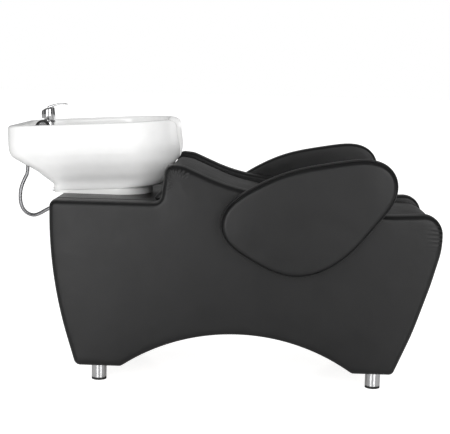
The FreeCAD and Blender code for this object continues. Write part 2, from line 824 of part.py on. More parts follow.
# The open space under the deck, the hollow foot and the three holes
deck_pocket = sketch_on(bowl, "XY_Plane", deck_height - v.deck_thickness)
closed_profile(deck_pocket, [
    ("basin_wall - basin_reach", "-deck_pocket_width / 2"), ("-deck_pocket_front", "-deck_pocket_width / 2"),
    ("-deck_pocket_front", "deck_pocket_width / 2"), ("basin_wall - basin_reach", "deck_pocket_width / 2")])
pocket(bowl, deck_pocket, "rim_height")
outside_foot = basin_outside_shares[0]
foot_front = outside_foot[2] * v.basin_length
foot_half = outside_foot[3] * half_basin
foot_sketch = plan_sketch(bowl, 0, v.foot_ring_wall, foot_front - v.foot_ring_wall, foot_half - v.foot_ring_wall)
pocket(bowl, foot_sketch, "foot_ring_depth", True)


def round_hole(body, height, x, y, radius, length):
    sketch = sketch_on(body, "XY_Plane", height)
    sketch.addGeometry(Part.Circle(Vector(x, y, 0), Vector(0, 0, 1), radius), False)
    return pocket(body, sketch, length)


round_hole(bowl, deck_height, v.waste_place, 0, v.waste_radius + v.run_gap, "rim_height")
round_hole(bowl, deck_height + v.overrun, -v.mixer_place, 0, v.shank_radius + v.run_gap, "deck_thickness + 2 * overrun")
round_hole(bowl, deck_height + v.overrun, -v.shower_place, -v.shower_side, v.socket_radius + v.run_gap,
           "deck_thickness + 2 * overrun")
on_basin(bowl, 0, 0, 0)
piece(bowl, "basin_bowl")

# Plinth: a wedge between the level platform and the tilted foot, with the tilt hinge at its rear

platform_top = v.platform_height + v.soft_gap
plinth_block = add("PartDesign::Body", "plinth_block")
plinth_sketch = draw(sketch_on(plinth_block, "XY_Plane"), plan_corners(0, foot_front, foot_half))
plinth_pad = plinth_block.newObject("PartDesign::Pad", "plinth_pad")
plinth_pad.Profile = plinth_sketch
bind(plinth_pad, {"Length": "basin_lift + plinth_hole_radius"})
doc.recompute()
bind(plinth_block, {"Placement.Base.x": "basin_place", "Placement.Base.z": "platform_height + soft_gap"})
slope_cutter = add("Part::Box", "plinth_slope")
bind(slope_cutter, {"Length": "2 * basin_length", "Width": "2 * basin_width", "Height": "rim_height"})
on_basin(slope_cutter, -v.basin_length, -v.basin_width, -v.soft_gap)
plinth_bore = rod("plinth_bore", "z", "plinth_hole_radius",
                  ("platform_height - overrun", "platform_height + rim_height"), ("basin_place + waste_place", "0"))

pivot_x = -v.knuckle_radius - v.hinge_leaf
pivot = basin_frame.multVec(Vector(pivot_x, 0, 0))
plate = add("Part::Box", "hinge_plate")
bind(plate, {"Length": "hinge_plate_reach + 2 * knuckle_radius + hinge_leaf", "Width": "hinge_length",
             "Height": "hinge_leaf", "Placement.Base.y": "-hinge_length / 2",
             "Placement.Base.z": "platform_height + soft_gap"})
bind(plate, {"Placement.Base.x": f"{pivot.x} - knuckle_radius"})
screws = []
for number, (x_share, sign) in enumerate(((0.12, -1), (0.12, 1), (0.80, -1), (0.80, 1)), 1):
    at = (f"basin_place + {x_share * outside_foot[2]} * basin_length",
          f"{sign} * ({outside_foot[3]} * basin_width / 2 - plinth_screw_inset)")
    screws.append(rod(f"plinth_screw_{number}", "z", "plinth_screw_radius",
                      (board_foot, f"platform_height + soft_gap + {HALF_SHARE} * basin_lift"), at))
wedge = cut("plinth_wedge", plinth_block, [slope_cutter, plinth_bore, plate] + screws)
piece(wedge, "basin_plinth")
piece(join("plinth_screw_group", screws), "plinth_screws")
piece(cut("platform_holes", platform, [plumbing] + screws), "platform_board")
piece(cut("cover_holes", cover, [plumbing] + screws), "platform_cover")

# Tilt hinge: outer knuckles on a plate under the plinth, middle knuckle on the basin, one pin


def knuckle(name, radius, start, end):
    """A round of the hinge on the tilt axis."""
    bar = add("Part::Cylinder", name)
    bar.Placement = Placement(Vector(pivot.x, 0, pivot.z), TURNS["y"])
    bind(bar, {"Radius": radius, "Height": f"({end}) - ({start})", "Placement.Base.y": start})
    return bar


half_hinge = "hinge_length / 2"
half_middle = "hinge_middle / 2"
fixed_parts = [plate]
for number, (start, end) in enumerate(((f"-{half_hinge}", f"-{half_middle}"), (half_middle, half_hinge)), 1):
    fixed_parts.append(knuckle(f"fixed_knuckle_{number}", "knuckle_radius", start, end))
    web = block(f"fixed_web_{number}", (f"{pivot.x} - knuckle_radius", f"{pivot.x} - knuckle_radius + hinge_leaf"),
                (start, end), ("platform_height + soft_gap", f"{pivot.z}"))
    fixed_parts.append(web)
pin_room = knuckle("pin_room", "hinge_pin_radius", f"-{half_hinge} - overrun", f"{half_hinge} + overrun")
piece(cut("fixed_leaf", join("fixed_leaf_parts", fixed_parts), [pin_room]), "hinge_fixed_leaf")
piece(knuckle("tilt_pin", "hinge_pin_radius", f"-{half_hinge}", half_hinge), "hinge_pin")
moving_leaf = add("Part::Box", "moving_leaf_plate")
bind(moving_leaf, {"Length": "hinge_leaf", "Width": "hinge_middle - 2 * soft_gap", "Height": "hinge_leaf_height"})
on_basin(moving_leaf, -v.hinge_leaf, -v.hinge_middle / 2 + v.soft_gap, 0)
moving_knuckle = knuckle("moving_knuckle", "knuckle_radius", f"-{half_middle} + soft_gap", f"{half_middle} - soft_gap")
leaf_web = add("Part::Box", "moving_leaf_web")
bind(leaf_web, {"Length": "hinge_leaf + knuckle_radius", "Width": "hinge_middle - 2 * soft_gap",
                "Height": "knuckle_radius"})
on_basin(leaf_web, -v.hinge_leaf - v.knuckle_radius, -v.hinge_middle / 2 + v.soft_gap, 0)
moving_room = knuckle("moving_room", "hinge_pin_radius + run_gap", f"-{half_hinge}", half_hinge)
piece(cut("moving_leaf", join("moving_leaf_parts", [moving_leaf, moving_knuckle, leaf_web]), [moving_room]),
      "hinge_basin_leaf")

# Waste: flange, seal, threaded tail and nut, with a lift-out strainer

floor_under = "foot_ring_depth"
flange_seat = "basin_floor + waste_seal_thickness"
nut_foot_height = f"{floor_under} - waste_nut_height"
waste = turned("waste_turned", [
    ("waste_bore", "-waste_drop"), ("waste_tail_radius", "-waste_drop"), ("waste_tail_radius", nut_foot_height),
    ("waste_radius", nut_foot_height), ("waste_radius", flange_seat),
    ("waste_flange_radius", flange_seat),
    ("waste_flange_radius", f"{flange_seat} + waste_flange_thickness / 2"),
    ("waste_bore", f"{flange_seat} + waste_flange_thickness")])
piece(on_basin(waste, v.waste_place, 0, 0), "waste_flange")
seal = turned("waste_seal_turned", tube_points("waste_radius", "waste_flange_radius", "basin_floor", flange_seat))
piece(on_basin(seal, v.waste_place, 0, 0), "waste_seal")
nut = turned("waste_nut_turned", tube_points("waste_radius", "waste_nut_radius", nut_foot_height, floor_under))
piece(on_basin(nut, v.waste_place, 0, 0), "waste_nut")
strainer_seat = f"{flange_seat} + waste_flange_thickness + soft_gap"
strainer = turned("strainer_turned", [
    ("0", f"{strainer_seat} - strainer_stem"), ("strainer_stem_radius", f"{strainer_seat} - strainer_stem"),
    ("strainer_stem_radius", strainer_seat), ("strainer_radius", strainer_seat),
    ("strainer_radius", f"{strainer_seat} + hinge_leaf"),
    ("strainer_stem_radius", f"{strainer_seat} + strainer_dome"), ("0", f"{strainer_seat} + strainer_dome")])
piece(on_basin(strainer, v.waste_place, 0, 0), "strainer")

# Mixer: base ring, body with a threaded shank, nut and inlet tails, ball collar and lever

deck = "rim_height - deck_drop"
under_deck = f"{deck} - deck_thickness"
mixer_foot = f"{deck} + mixer_base_height"
mixer_top = f"{deck} + mixer_height"
ring = turned("mixer_ring_turned", [
    ("shank_radius", deck), ("mixer_base_radius", deck), ("mixer_base_radius", f"{deck} + mixer_base_height / 2"),
    ("mixer_radius", mixer_foot), ("shank_radius", mixer_foot)])
piece(on_basin(ring, -v.mixer_place, 0, 0), "mixer_base_ring")
mixer = turned("mixer_turned", [
    ("0", f"{under_deck} - shank_drop"), ("shank_radius", f"{under_deck} - shank_drop"),
    ("shank_radius", mixer_foot), ("mixer_radius", mixer_foot), ("mixer_radius", f"{mixer_top} - mixer_base_height"),
    ("stem_radius + mixer_base_height", mixer_top), ("0", mixer_top)])
piece(on_basin(mixer, -v.mixer_place, 0, 0), "mixer_body")
mixer_nut = turned("mixer_nut_turned", tube_points("shank_radius", "mixer_nut_radius",
                                                   f"{under_deck} - mixer_nut_height", under_deck))
piece(on_basin(mixer_nut, -v.mixer_place, 0, 0), "mixer_nut")
tails = []
for number in range(INLETS):
    tail = add("Part::Cylinder", f"inlet_tail_{number}")
    bind(tail, {"Radius": "inlet_radius", "Height": "inlet_drop"})
    turn = 2 * math.pi * number / INLETS
    on_basin(tail, -v.mixer_place + v.inlet_spacing * math.cos(turn), v.inlet_spacing * math.sin(turn),
             deck_height - v.deck_thickness - v.shank_drop - v.inlet_drop)
    tails.append(tail)
piece(join("inlet_tail_group", tails), "mixer_tails")

pivot_height = f"{mixer_top} + pivot_rise"
collar_foot = f"{mixer_top} + soft_gap"
collar = turned("collar_turned", [
    ("0", collar_foot), ("mixer_radius", collar_foot), ("mixer_radius", f"{collar_foot} + collar_height"),
    ("stem_radius", f"{collar_foot} + collar_height"), ("stem_radius", pivot_height), ("0", pivot_height)])
on_basin(collar, -v.mixer_place, 0, 0)
ball = add("Part::Sphere", "mixer_ball")
bind(ball, {"Radius": "ball_radius"})
pivot_z = deck_height + v.mixer_height + v.pivot_rise
on_basin(ball, -v.mixer_place, 0, pivot_z)
piece(join("mixer_collar_group", [collar, ball]), "mixer_collar")

cap = add("PartDesign::Body", "lever_cap")
cap_sketch = sketch_on(cap, "XY_Plane")
cap_sketch.addGeometry(Part.Circle(Vector(0, 0, 0), Vector(0, 0, 1), v.mixer_radius), False)
cap_pad = cap.newObject("PartDesign::Pad", "lever_cap_pad")
cap_pad.Profile = cap_sketch
bind(cap_pad, {"Length": "2 * cap_rise"})
doc.recompute()
cap_foot = deck_height + v.mixer_height
on_basin(cap, -v.mixer_place, 0, cap_foot)
cap_side = add("Sketcher::SketchObject", "cap_side_outline")
closed_profile(cap_side, [
    ("-mixer_radius - overrun", "cap_edge + cap_slope"), ("mixer_radius + overrun", "cap_edge"),
    ("mixer_radius + overrun", "cap_rise + collar_height + ball_gap"),
    ("-mixer_radius - overrun", "cap_rise - cap_slope")])
on_basin(cap_side, -v.mixer_place, v.mixer_radius, cap_foot, Rotation(Vector(1, 0, 0), 90))
cap_band = add("Part::Extrusion", "cap_band")
cap_band.Base = cap_side
cap_band.DirMode = "Custom"
cap_band.Dir = Vector(0, -1, 0)
cap_band.Solid = True
bind(cap_band, {"LengthFwd": "2 * mixer_radius"})
blade_side = add("Sketcher::SketchObject", "blade_outline")
closed_profile(blade_side, [
    ("-lever_thickness", "cap_rise - cap_slope"), ("lever_reach", "cap_rise + lever_drop"),
    ("lever_reach", "cap_rise + lever_drop + lever_thickness / 2"),
    ("-lever_thickness", "cap_rise - cap_slope + lever_thickness")])
on_basin(blade_side, -v.mixer_place, v.lever_width / 2, cap_foot, Rotation(Vector(1, 0, 0), 90))
blade = add("Part::Extrusion", "lever_blade")
blade.Base = blade_side
blade.DirMode = "Custom"
blade.Dir = Vector(0, -1, 0)
blade.Solid = True
bind(blade, {"LengthFwd": "lever_width"})
ball_room = add("Part::Sphere", "ball_room")
bind(ball_room, {"Radius": "ball_radius + ball_gap"})
on_basin(ball_room, -v.mixer_place, 0, pivot_z)
stem_room = add("Part::Cylinder", "stem_room")
bind(stem_room, {"Radius": "stem_room", "Height": "pivot_rise"})
on_basin(stem_room, -v.mixer_place, 0, cap_foot)
cap_form = common("cap_form", cap, cap_band)
piece(cut("lever_form", join("lever_parts", [cap_form, blade]), [ball_room, stem_room]), "mixer_lever")

# Hand shower standing in its deck socket

shower_x = -v.shower_place
shower_y = -v.shower_side
socket_foot = f"{under_deck} - socket_drop + deck_thickness"
socket = turned("socket_turned", [
    ("handle_radius + run_gap", socket_foot), ("socket_radius", socket_foot), ("socket_radius", deck),
    ("socket_flange_radius", deck), ("socket_flange_radius", f"{deck} + socket_flange_thickness"),
    ("handle_radius + run_gap", f"{deck} + socket_flange_thickness")])
piece(on_basin(socket, shower_x, shower_y, 0), "shower_socket")
shoulder_foot = f"{deck} + socket_flange_thickness + soft_gap"
shoulder_top = f"{shoulder_foot} + shoulder_height"
handle_foot = f"{shoulder_foot} - handle_length"
handle = turned("handle_turned", [
    ("0", handle_foot), ("handle_radius", handle_foot), ("handle_radius", shoulder_foot),
    ("shoulder_radius", shoulder_foot), ("shoulder_radius", shoulder_top),
    ("neck_radius", f"{shoulder_top} + shoulder_height"), ("0", f"{shoulder_top} + shoulder_height")])
on_basin(handle, shower_x, shower_y, 0)
head_turn = Rotation(Vector(1, 0, 0), 90 - v.head_tilt)
head_centre = Vector(shower_x + v.head_forward, shower_y, deck_height + v.head_rise)
head_back = head_centre - head_turn.multVec(Vector(0, 0, v.head_thickness / 2))
neck_start = Vector(shower_x, shower_y,
                    deck_height + v.socket_flange_thickness + v.soft_gap + v.shoulder_height)
neck_run = head_back - neck_start
neck = add("Part::Cylinder", "shower_neck")
bind(neck, {"Radius": "neck_radius"})
neck.Height = neck_run.Length
on_basin(neck, neck_start.x, neck_start.y, neck_start.z, Rotation(Vector(0, 0, 1), neck_run))
head = turned("head_turned", [
    ("spray_radius", "head_thickness / 2"), ("head_radius - foot_wall", "head_thickness / 2"),
    ("head_radius", "head_thickness / 4"), ("head_radius", "-head_thickness / 8"),
    ("spray_radius", "-head_thickness / 2"), ("0", "-head_thickness / 2"), ("0", "head_thickness / 4"),
    ("spray_radius", "head_thickness / 4")])
on_basin(head, head_centre.x, head_centre.y, head_centre.z, head_turn)
piece(cut("handle_trimmed", join("handle_parts", [handle, neck]), [head]), "hand_shower_handle")
piece(head, "hand_shower_head")
spray = turned("spray_turned", [
    ("0", "head_thickness / 4"), ("spray_radius", "head_thickness / 4"), ("spray_radius", "head_thickness / 2"),
    ("nozzle_circle", "head_thickness / 2 + spray_dome / 2"), ("0", "head_thickness / 2 + spray_dome")])
nozzle_sketch = sketch_on(spray, "XY_Plane", v.head_thickness / 2 + v.spray_dome)
nozzle_sketch.addGeometry(Part.Circle(Vector(v.nozzle_circle, 0, 0), Vector(0, 0, 1), v.nozzle_radius), False)
nozzle = pocket(spray, nozzle_sketch, "spray_dome + nozzle_depth")
nozzles = spray.newObject("PartDesign::PolarPattern", "nozzle_ring")
nozzles.Originals = [nozzle]
spray_axis = next(item for item in spray.Origin.OriginFeatures if item.Role == "Z_Axis")
nozzles.Axis = (spray_axis, [""])
nozzles.Angle = 360
nozzles.Occurrences = NOZZLES
spray.Tip = nozzles
piece(on_basin(spray, head_centre.x, head_centre.y, head_centre.z, head_turn), "spray_face")
hose_nut = turned("hose_nut_turned", [
    ("0", f"{handle_foot} - hose_nut_height"), ("hose_nut_radius", f"{handle_foot} - hose_nut_height"),
    ("hose_nut_radius", handle_foot), ("0", handle_foot)])
piece(on_basin(hose_nut, shower_x, shower_y, 0), "hose_nut")

# Shower hose: a straight riser under the hand shower, then a hanging loop into the rear panel

nut_foot = (deck_height + v.socket_flange_thickness + v.soft_gap - v.handle_length - v.hose_nut_height)
riser = add("Part::Cylinder", "riser_tube")
bind(riser, {"Radius": "hose_radius", "Height": "riser_length"})
on_basin(riser, shower_x, shower_y, nut_foot - v.riser_length)
piece(riser, "hose_riser")
hose_top = basin_frame.multVec(Vector(shower_x, shower_y, nut_foot - v.riser_length))
inlet_x = v.body_rear + v.reveal
inlet_side = v.seat_width / 2 - v.inlet_inset
hose_end = Vector(inlet_x - v.hose_inlet_thickness, -inlet_side, v.inlet_height)

# The loop's corners: along as a share of the body's length from its rear, across and up as shares
# of the inlet's own distance from the mid-plane and height.
hose_loop_shares = (
    (-0.0884, 0.695, 1.1470),
    (-0.0971, 0.713, 1.0890),
    (-0.0995, 0.737, 1.0436),
    (-0.0995, 0.766, 1.0022),
    (-0.0897, 0.808, 0.9633),
    (-0.0727, 0.856, 0.9410),
    (-0.0531, 0.910, 0.9410),
    (-0.0163, 0.988, 0.9926),
    (-0.0040, 1.000, 1.0000),
)
BEND_SHARE = 0.45


def tube_path(points):
    """Straight runs joined by tangent arcs, each as large as its two runs allow."""
    edges = []
    start = points[0]
    radii = []
    for before, corner, after in zip(points, points[1:], points[2:]):
        into = (corner - before).normalize()
        out = (after - corner).normalize()
        run = min((corner - before).Length, (after - corner).Length)
        half = into.getAngle(out) / 2
        reach = BEND_SHARE * run
        radius = reach / math.tan(half)
        radii.append(radius)
        entry = corner - into * reach
        leave = corner + out * reach
        middle = corner + (out - into).normalize() * (radius / math.cos(half) - radius)
        if (entry - start).Length > v.run_gap:
            edges.append(Part.LineSegment(start, entry).toShape())
        edges.append(Part.Arc(entry, middle, leave).toShape())
        start = leave
    edges.append(Part.LineSegment(start, points[-1]).toShape())
    return Part.Wire(edges), radii


hose_route = [hose_top, basin_frame.multVec(Vector(shower_x, shower_y, nut_foot - 2 * v.riser_length))]
for x_share, y_share, z_share in hose_loop_shares:
    hose_route.append(Vector(along(x_share), -y_share * inlet_side, z_share * v.inlet_height))
hose_route.append(hose_end)
hose_wire, hose_radii = tube_path(hose_route)
first_run = (hose_route[1] - hose_route[0]).normalize()
hose_section = Part.Wire([Part.Circle(hose_top, first_run, v.hose_radius).toShape()])
hose_shape = hose_wire.makePipeShell([hose_section], True, False)
hose_loop = add("Part::Feature", "hose_tube")
hose_loop.Shape = hose_shape
piece(hose_loop, "hose_loop")
print("hose radii", [round(radius) for radius in hose_radii], "length", round(hose_wire.Length))
print("hose volume", round(hose_shape.Volume), "section times length",
      round(math.pi * v.hose_radius ** 2 * hose_wire.Length))

inlet_disc = rod("inlet_disc", "x", "hose_inlet_flange", ("body_rear + reveal - hose_inlet_thickness",
                                                          "body_rear + reveal"), inlet_at)
inlet_tail = rod("inlet_tail", "x", "hose_inlet_radius",
                 ("body_rear + reveal - hose_inlet_thickness", "body_rear + reveal + hose_inlet_tail"), inlet_at)
piece(join("hose_inlet_parts", [inlet_disc, inlet_tail]), "hose_inlet")

# Check and write

doc.recompute()
failed = [thing.Name for thing in doc.Objects if "Invalid" in thing.State or "Error" in thing.State]
if failed:
    raise SystemExit(f"objects that failed: {failed}")
for thing in PIECES:
    if thing.Shape.isNull() or not thing.Shape.isValid():
        raise SystemExit(f"bad shape: {thing.Label}")
os.makedirs("parts", exist_ok=True)
for thing in PIECES:
    thing.Shape.exportStep(f"parts/{thing.Label}.step")
whole = Part.makeCompound([thing.Shape for thing in PIECES]).BoundBox
print(len(PIECES), "pieces, box", [round(value, 1) for value in
                                   (whole.XMin, whole.XMax, whole.YMin, whole.YMax, whole.ZMin, whole.ZMax)])
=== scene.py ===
import json
import math

import bmesh
import bpy
import numpy as np
from mathutils import Matrix, Vector
from mathutils.geometry import delaunay_2d_cdt


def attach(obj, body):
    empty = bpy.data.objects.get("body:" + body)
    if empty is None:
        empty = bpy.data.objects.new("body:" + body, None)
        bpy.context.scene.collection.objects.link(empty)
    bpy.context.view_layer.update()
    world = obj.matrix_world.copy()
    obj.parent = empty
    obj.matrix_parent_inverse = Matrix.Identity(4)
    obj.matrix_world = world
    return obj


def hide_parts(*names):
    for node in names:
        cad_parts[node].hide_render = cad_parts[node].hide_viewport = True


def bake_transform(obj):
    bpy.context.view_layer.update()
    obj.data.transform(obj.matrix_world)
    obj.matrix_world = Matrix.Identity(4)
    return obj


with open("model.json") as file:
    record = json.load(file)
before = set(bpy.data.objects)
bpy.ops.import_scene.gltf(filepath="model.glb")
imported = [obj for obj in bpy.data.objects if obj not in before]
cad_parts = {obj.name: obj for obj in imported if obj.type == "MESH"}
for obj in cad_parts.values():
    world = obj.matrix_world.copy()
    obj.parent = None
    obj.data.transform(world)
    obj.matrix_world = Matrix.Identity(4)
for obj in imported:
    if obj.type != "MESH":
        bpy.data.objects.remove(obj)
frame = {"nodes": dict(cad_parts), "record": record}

scene = bpy.context.scene
nodes = frame["nodes"]
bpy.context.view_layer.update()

# The studio: a white sweep with a glossy floor, two large softboxes beside the camera, and dark
# flags at both sides that show only in reflections. The camera looks at the client's right side.

camera_place = (0.131, -3.69, 1.034)
camera_turn = 2.03
camera_dip = 8.10
camera_roll = 1.33
camera_data = bpy.data.cameras.new("camera")
camera_data.lens = 87.3
camera_data.sensor_width = 36
camera = bpy.data.objects.new("camera", camera_data)
scene.collection.objects.link(camera)
camera.matrix_world = (Matrix.Translation(camera_place)
                       @ Matrix.Rotation(math.radians(camera_turn), 4, "Z")
                       @ Matrix.Rotation(math.radians(90 - camera_dip), 4, "X")
                       @ Matrix.Rotation(math.radians(camera_roll), 4, "Z"))
scene.camera = camera
scene.view_settings.view_transform = "Standard"


def add_object(name, mesh):
    thing = bpy.data.objects.new(name, mesh)
    scene.collection.objects.link(thing)
    return thing


def surface(name, **settings):
    """A new material whose main shader takes these settings; returns it with its shader."""
    material = bpy.data.materials.new(name)
    material.use_nodes = True
    shader = material.node_tree.nodes["Principled BSDF"]
    for socket, value in settings.items():
        shader.inputs[socket.replace("_", " ")].default_value = value
    return material, shader


def node(tree, kind, inputs=(), **settings):
    """A shader node with its settings, its inputs given as numbers, colours or other sockets."""
    made = tree.nodes.new("ShaderNode" + kind)
    for name, value in settings.items():
        setattr(made, name, value)
    for name, value in dict(inputs).items():
        if isinstance(value, bpy.types.NodeSocket):
            tree.links.new(value, made.inputs[name])
        else:
            made.inputs[name].default_value = value
    return made


def maths(tree, operation, *inputs):
    """The result of a Math node on one or two inputs."""
    return node(tree, "Math", dict(enumerate(inputs)), operation=operation).outputs[0]


def blend_colours(tree, factor, stops):
    """A colour ramp on a factor: stops are (place, colour) rows, and a number stands for a grey."""
    ramp = node(tree, "ValToRGB", {"Fac": factor})
    marks = ramp.color_ramp.elements
    while len(marks) < len(stops):
        marks.new(0.5)
    for mark, (place, colour) in zip(marks, stops):
        mark.position = place
        mark.color = (colour, colour, colour, 1) if np.isscalar(colour) else (*colour, 1)
    return ramp.outputs["Color"]


world = bpy.data.worlds.new("studio")
scene.world = world
world.use_nodes = True
sky = world.node_tree
sky.nodes.clear()
direction = node(sky, "SeparateXYZ", {"Vector": node(sky, "TexCoord").outputs["Generated"]})
height_tone = blend_colours(sky, direction.outputs["Z"], [(0.0, 0.42), (0.40, 0.36), (0.75, 0.26), (1.0, 0.20)])
fill_tone = blend_colours(sky, direction.outputs["Z"], [(0.0, 1.18), (0.40, 0.80), (0.75, 0.48)])
to_the_side = maths(sky, "ABSOLUTE", direction.outputs["X"])
flag_tone = blend_colours(sky, to_the_side, [(0.45, 1.0), (0.62, 0.22), (0.90, 0.22), (1.0, 0.7)])
rear_tone = blend_colours(sky, direction.outputs["Y"], [(0.0, 1.0), (0.5, 0.74)])
room_tone = maths(sky, "MULTIPLY", maths(sky, "MULTIPLY", height_tone, flag_tone), rear_tone)
room, white, fill = (node(sky, "Background", {"Color": tone, "Strength": 1.0}).outputs[0]
                     for tone in (room_tone, (1, 1, 1, 1), fill_tone))
light_path = node(sky, "LightPath")
sharp = maths(sky, "MAXIMUM", light_path.outputs["Is Glossy Ray"], light_path.outputs["Is Transmission Ray"])
lit = node(sky, "MixShader", {"Fac": sharp, 1: fill, 2: room})
seen = node(sky, "MixShader", {"Fac": light_path.outputs["Is Camera Ray"], 1: lit.outputs[0], 2: white})
node(sky, "OutputWorld", {"Surface": seen.outputs[0]})



def softbox(name, place, target, size, power):
    """A rectangular lamp at one place that faces a target."""
    lamp = bpy.data.lights.new(name, "AREA")
    lamp.shape = "RECTANGLE"
    lamp.size, lamp.size_y = size
    lamp.energy = power
    thing = bpy.data.objects.new(name, lamp)
    scene.collection.objects.link(thing)
    thing.location = place
    thing.rotation_euler = (Vector(target) - Vector(place)).to_track_quat("-Z", "Y").to_euler()


softbox("left_softbox", (-1.35, -3.3, 1.00), (-0.1, 0, 0.45), (1.5, 2.0), 37)
softbox("right_softbox", (1.75, -3.1, 1.25), (0.1, 0, 0.5), (1.5, 2.0), 36)

floor_size = 30
paper_glow = 0.82
floor_corners = [(-floor_size, -floor_size, 0), (floor_size, -floor_size, 0), (floor_size, floor_size, 0),
                 (-floor_size, floor_size, 0)]
floor_mesh = bpy.data.meshes.new("floor")
floor_mesh.from_pydata(floor_corners, [], [(0, 1, 2, 3)])
floor = add_object("floor", floor_mesh)
floor_material, floor_shader = surface("floor_paper", Base_Color=(0.9, 0.9, 0.9, 1), Roughness=0.12)
paper = floor_material.node_tree
floor_path = node(paper, "LightPath")
glow = node(paper, "Emission", {"Color": (1, 1, 1, 1), "Strength": paper_glow})
dark = node(paper, "Emission", {"Color": (0, 0, 0, 1), "Strength": 0.0})
floor_glow = node(paper, "MixShader", {"Fac": floor_path.outputs["Is Camera Ray"], 1: dark.outputs[0],
                                       2: glow.outputs[0]})
floor_sum = node(paper, "AddShader", {0: floor_shader.outputs[0], 1: floor_glow.outputs[0]})
paper.links.new(floor_sum.outputs[0], paper.nodes["Material Output"].inputs["Surface"])
floor_mesh.materials.append(floor_material)

# The shower hose: a limp interlocked steel hose of 12 mm. It leaves the fitting in the rear panel,
# hangs in one loop and goes up under the basin's deck into the hand shower.

hose_route = [
    (-0.65361, -0.11500, 0.67497),
    (-0.65246, -0.11500, 0.65501),
    (-0.66500, -0.11607, 0.63200),
    (-0.67500, -0.11907, 0.60404),
    (-0.67697, -0.12308, 0.57802),
    (-0.67397, -0.12792, 0.55221),
    (-0.66166, -0.13494, 0.53078),
    (-0.64031, -0.14295, 0.51849),
    (-0.61569, -0.15197, 0.51849),
    (-0.56947, -0.16500, 0.54692),
    (-0.55402, -0.16700, 0.55100),
    (-0.54000, -0.16700, 0.55100),
]
hose_radius = 0.006
ring_pitch = 0.0034
ring_depth = 0.0005


def spline_points(route):
    """Points along the smooth spline whose control points are the route."""
    curve = bpy.data.curves.new("route", "CURVE")
    curve.dimensions = "3D"
    spline = curve.splines.new("NURBS")
    spline.points.add(len(route) - 1)
    for point, place in zip(spline.points, route):
        point.co = (*place, 1)
    spline.order_u = 3
    spline.use_endpoint_u = True
    spline.resolution_u = 24
    holder = bpy.data.objects.new("route", curve)
    scene.collection.objects.link(holder)
    bpy.context.view_layer.update()
    line = bpy.data.meshes.new_from_object(holder)
    points = np.empty(len(line.vertices) * 3)
    line.vertices.foreach_get("co", points)
    bpy.data.objects.remove(holder)
    return points.reshape(-1, 3)


def closed_mesh(name, grid):
    """A smooth closed mesh from a grid of points, whose rows are closed rings, joined row by row.

    Face (i, j) joins points j and j + 1 of row i to the same points of row i + 1, and each end is closed by one
    flat face. The faces are turned outwards when the volume that they hold comes out negative.
    """
    rows, columns = grid.shape[:2]
    points = grid.reshape(-1, 3)
    ends = [list(range(columns))[::-1], list(range((rows - 1) * columns, rows * columns))]
    mesh = bpy.data.meshes.new(name)
    mesh.from_pydata(points, [], row_faces(rows, columns) + ends)
    mesh.calc_loop_triangles()
    corners = np.empty(len(mesh.loop_triangles) * 3, np.int32)
    mesh.loop_triangles.foreach_get("vertices", corners)
    a, b, c = points[corners.reshape(-1, 3)].transpose(1, 0, 2)
    if (a * np.cross(b, c)).sum() < 0:
        mesh.flip_normals()
    mesh.shade_smooth()
    return mesh


def row_faces(rows, columns):
    """The faces between a grid's rows, which are closed rings."""
    first = np.arange(rows - 1)[:, None] * columns
    j = np.arange(columns)[None, :]
    k = (j + 1) % columns
    return np.stack([first + j, first + k, first + columns + k, first + columns + j], -1).reshape(-1, 4).tolist()


def unit(rows):
    """Each row as a direction of length 1."""
    return rows / np.linalg.norm(rows, axis=1, keepdims=True)


def travelled(line, weight=1.0):
    """How far along a line each of its points lies, with its runs weighted."""
    return np.concatenate([[0], np.cumsum(np.linalg.norm(np.diff(line, axis=0), axis=1) * weight)])


def points_at(place, length, line):
    """The points of a line at places along it, where length says how far along its own points lie."""
    return np.stack([np.interp(place, length, line[:, k]) for k in range(line.shape[1])], -1)


def carried_tube(name, line, radius, sides=20):
    """A round tube of the given radius at each point along a line.

    The section's first direction starts across the line and is turned from point to point by what is left of it
    across the next run, so that the tube doesn't twist.
    """
    run = unit(np.gradient(line, axis=0))
    side = np.empty_like(run)
    start = np.cross(run[0], (0.0, 0.0, 1.0) if abs(run[0, 2]) < 0.9 else (1.0, 0.0, 0.0))
    for i in range(len(run)):
        start = start - run[i] * (start @ run[i])
        start = start / np.linalg.norm(start)
        side[i] = start
    other = np.cross(run, side)
    angle = np.linspace(0, 2 * np.pi, sides, endpoint=False)
    round_section = side[:, None] * np.cos(angle)[:, None] + other[:, None] * np.sin(angle)[:, None]
    grid = line[:, None] + round_section * np.broadcast_to(radius, len(line))[:, None, None]
    return closed_mesh(name, grid)


def evenly(line, spacing):
    """The same line with points one spacing apart."""
    length = travelled(line)
    place = np.linspace(0, length[-1], int(length[-1] / spacing) + 1)
    return points_at(place, length, line), place


def noisy(name, colour, roughness, scale, detail, stops, socket="Roughness", metallic=0.0):
    """A new material in which noise blends one input between two stops."""
    material, shader = surface(name, Base_Color=(*colour, 1), Metallic=metallic, Roughness=roughness)
    tree = material.node_tree
    noise = node(tree, "TexNoise", {"Vector": node(tree, "TexCoord").outputs["Object"], "Scale": scale,
                                    "Detail": detail})
    tree.links.new(blend_colours(tree, noise.outputs["Fac"], stops), shader.inputs[socket])
    return material


hose_line, hose_place = evenly(spline_points(hose_route), ring_pitch / 5)
ribs = ring_depth * np.abs(np.sin(np.pi * hose_place / ring_pitch)) ** 0.6
hose_loop = add_object("shower_hose", carried_tube("shower_hose", hose_line, hose_radius - ring_depth + ribs))
hose_steel = noisy("hose_steel", (0.34, 0.34, 0.35), 0.25, 160.0, 3.0, [(0.35, 0.16), (0.7, 0.34)], metallic=1.0)
hose_loop.data.materials.append(hose_steel)
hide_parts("hose_loop")
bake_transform(hose_loop)

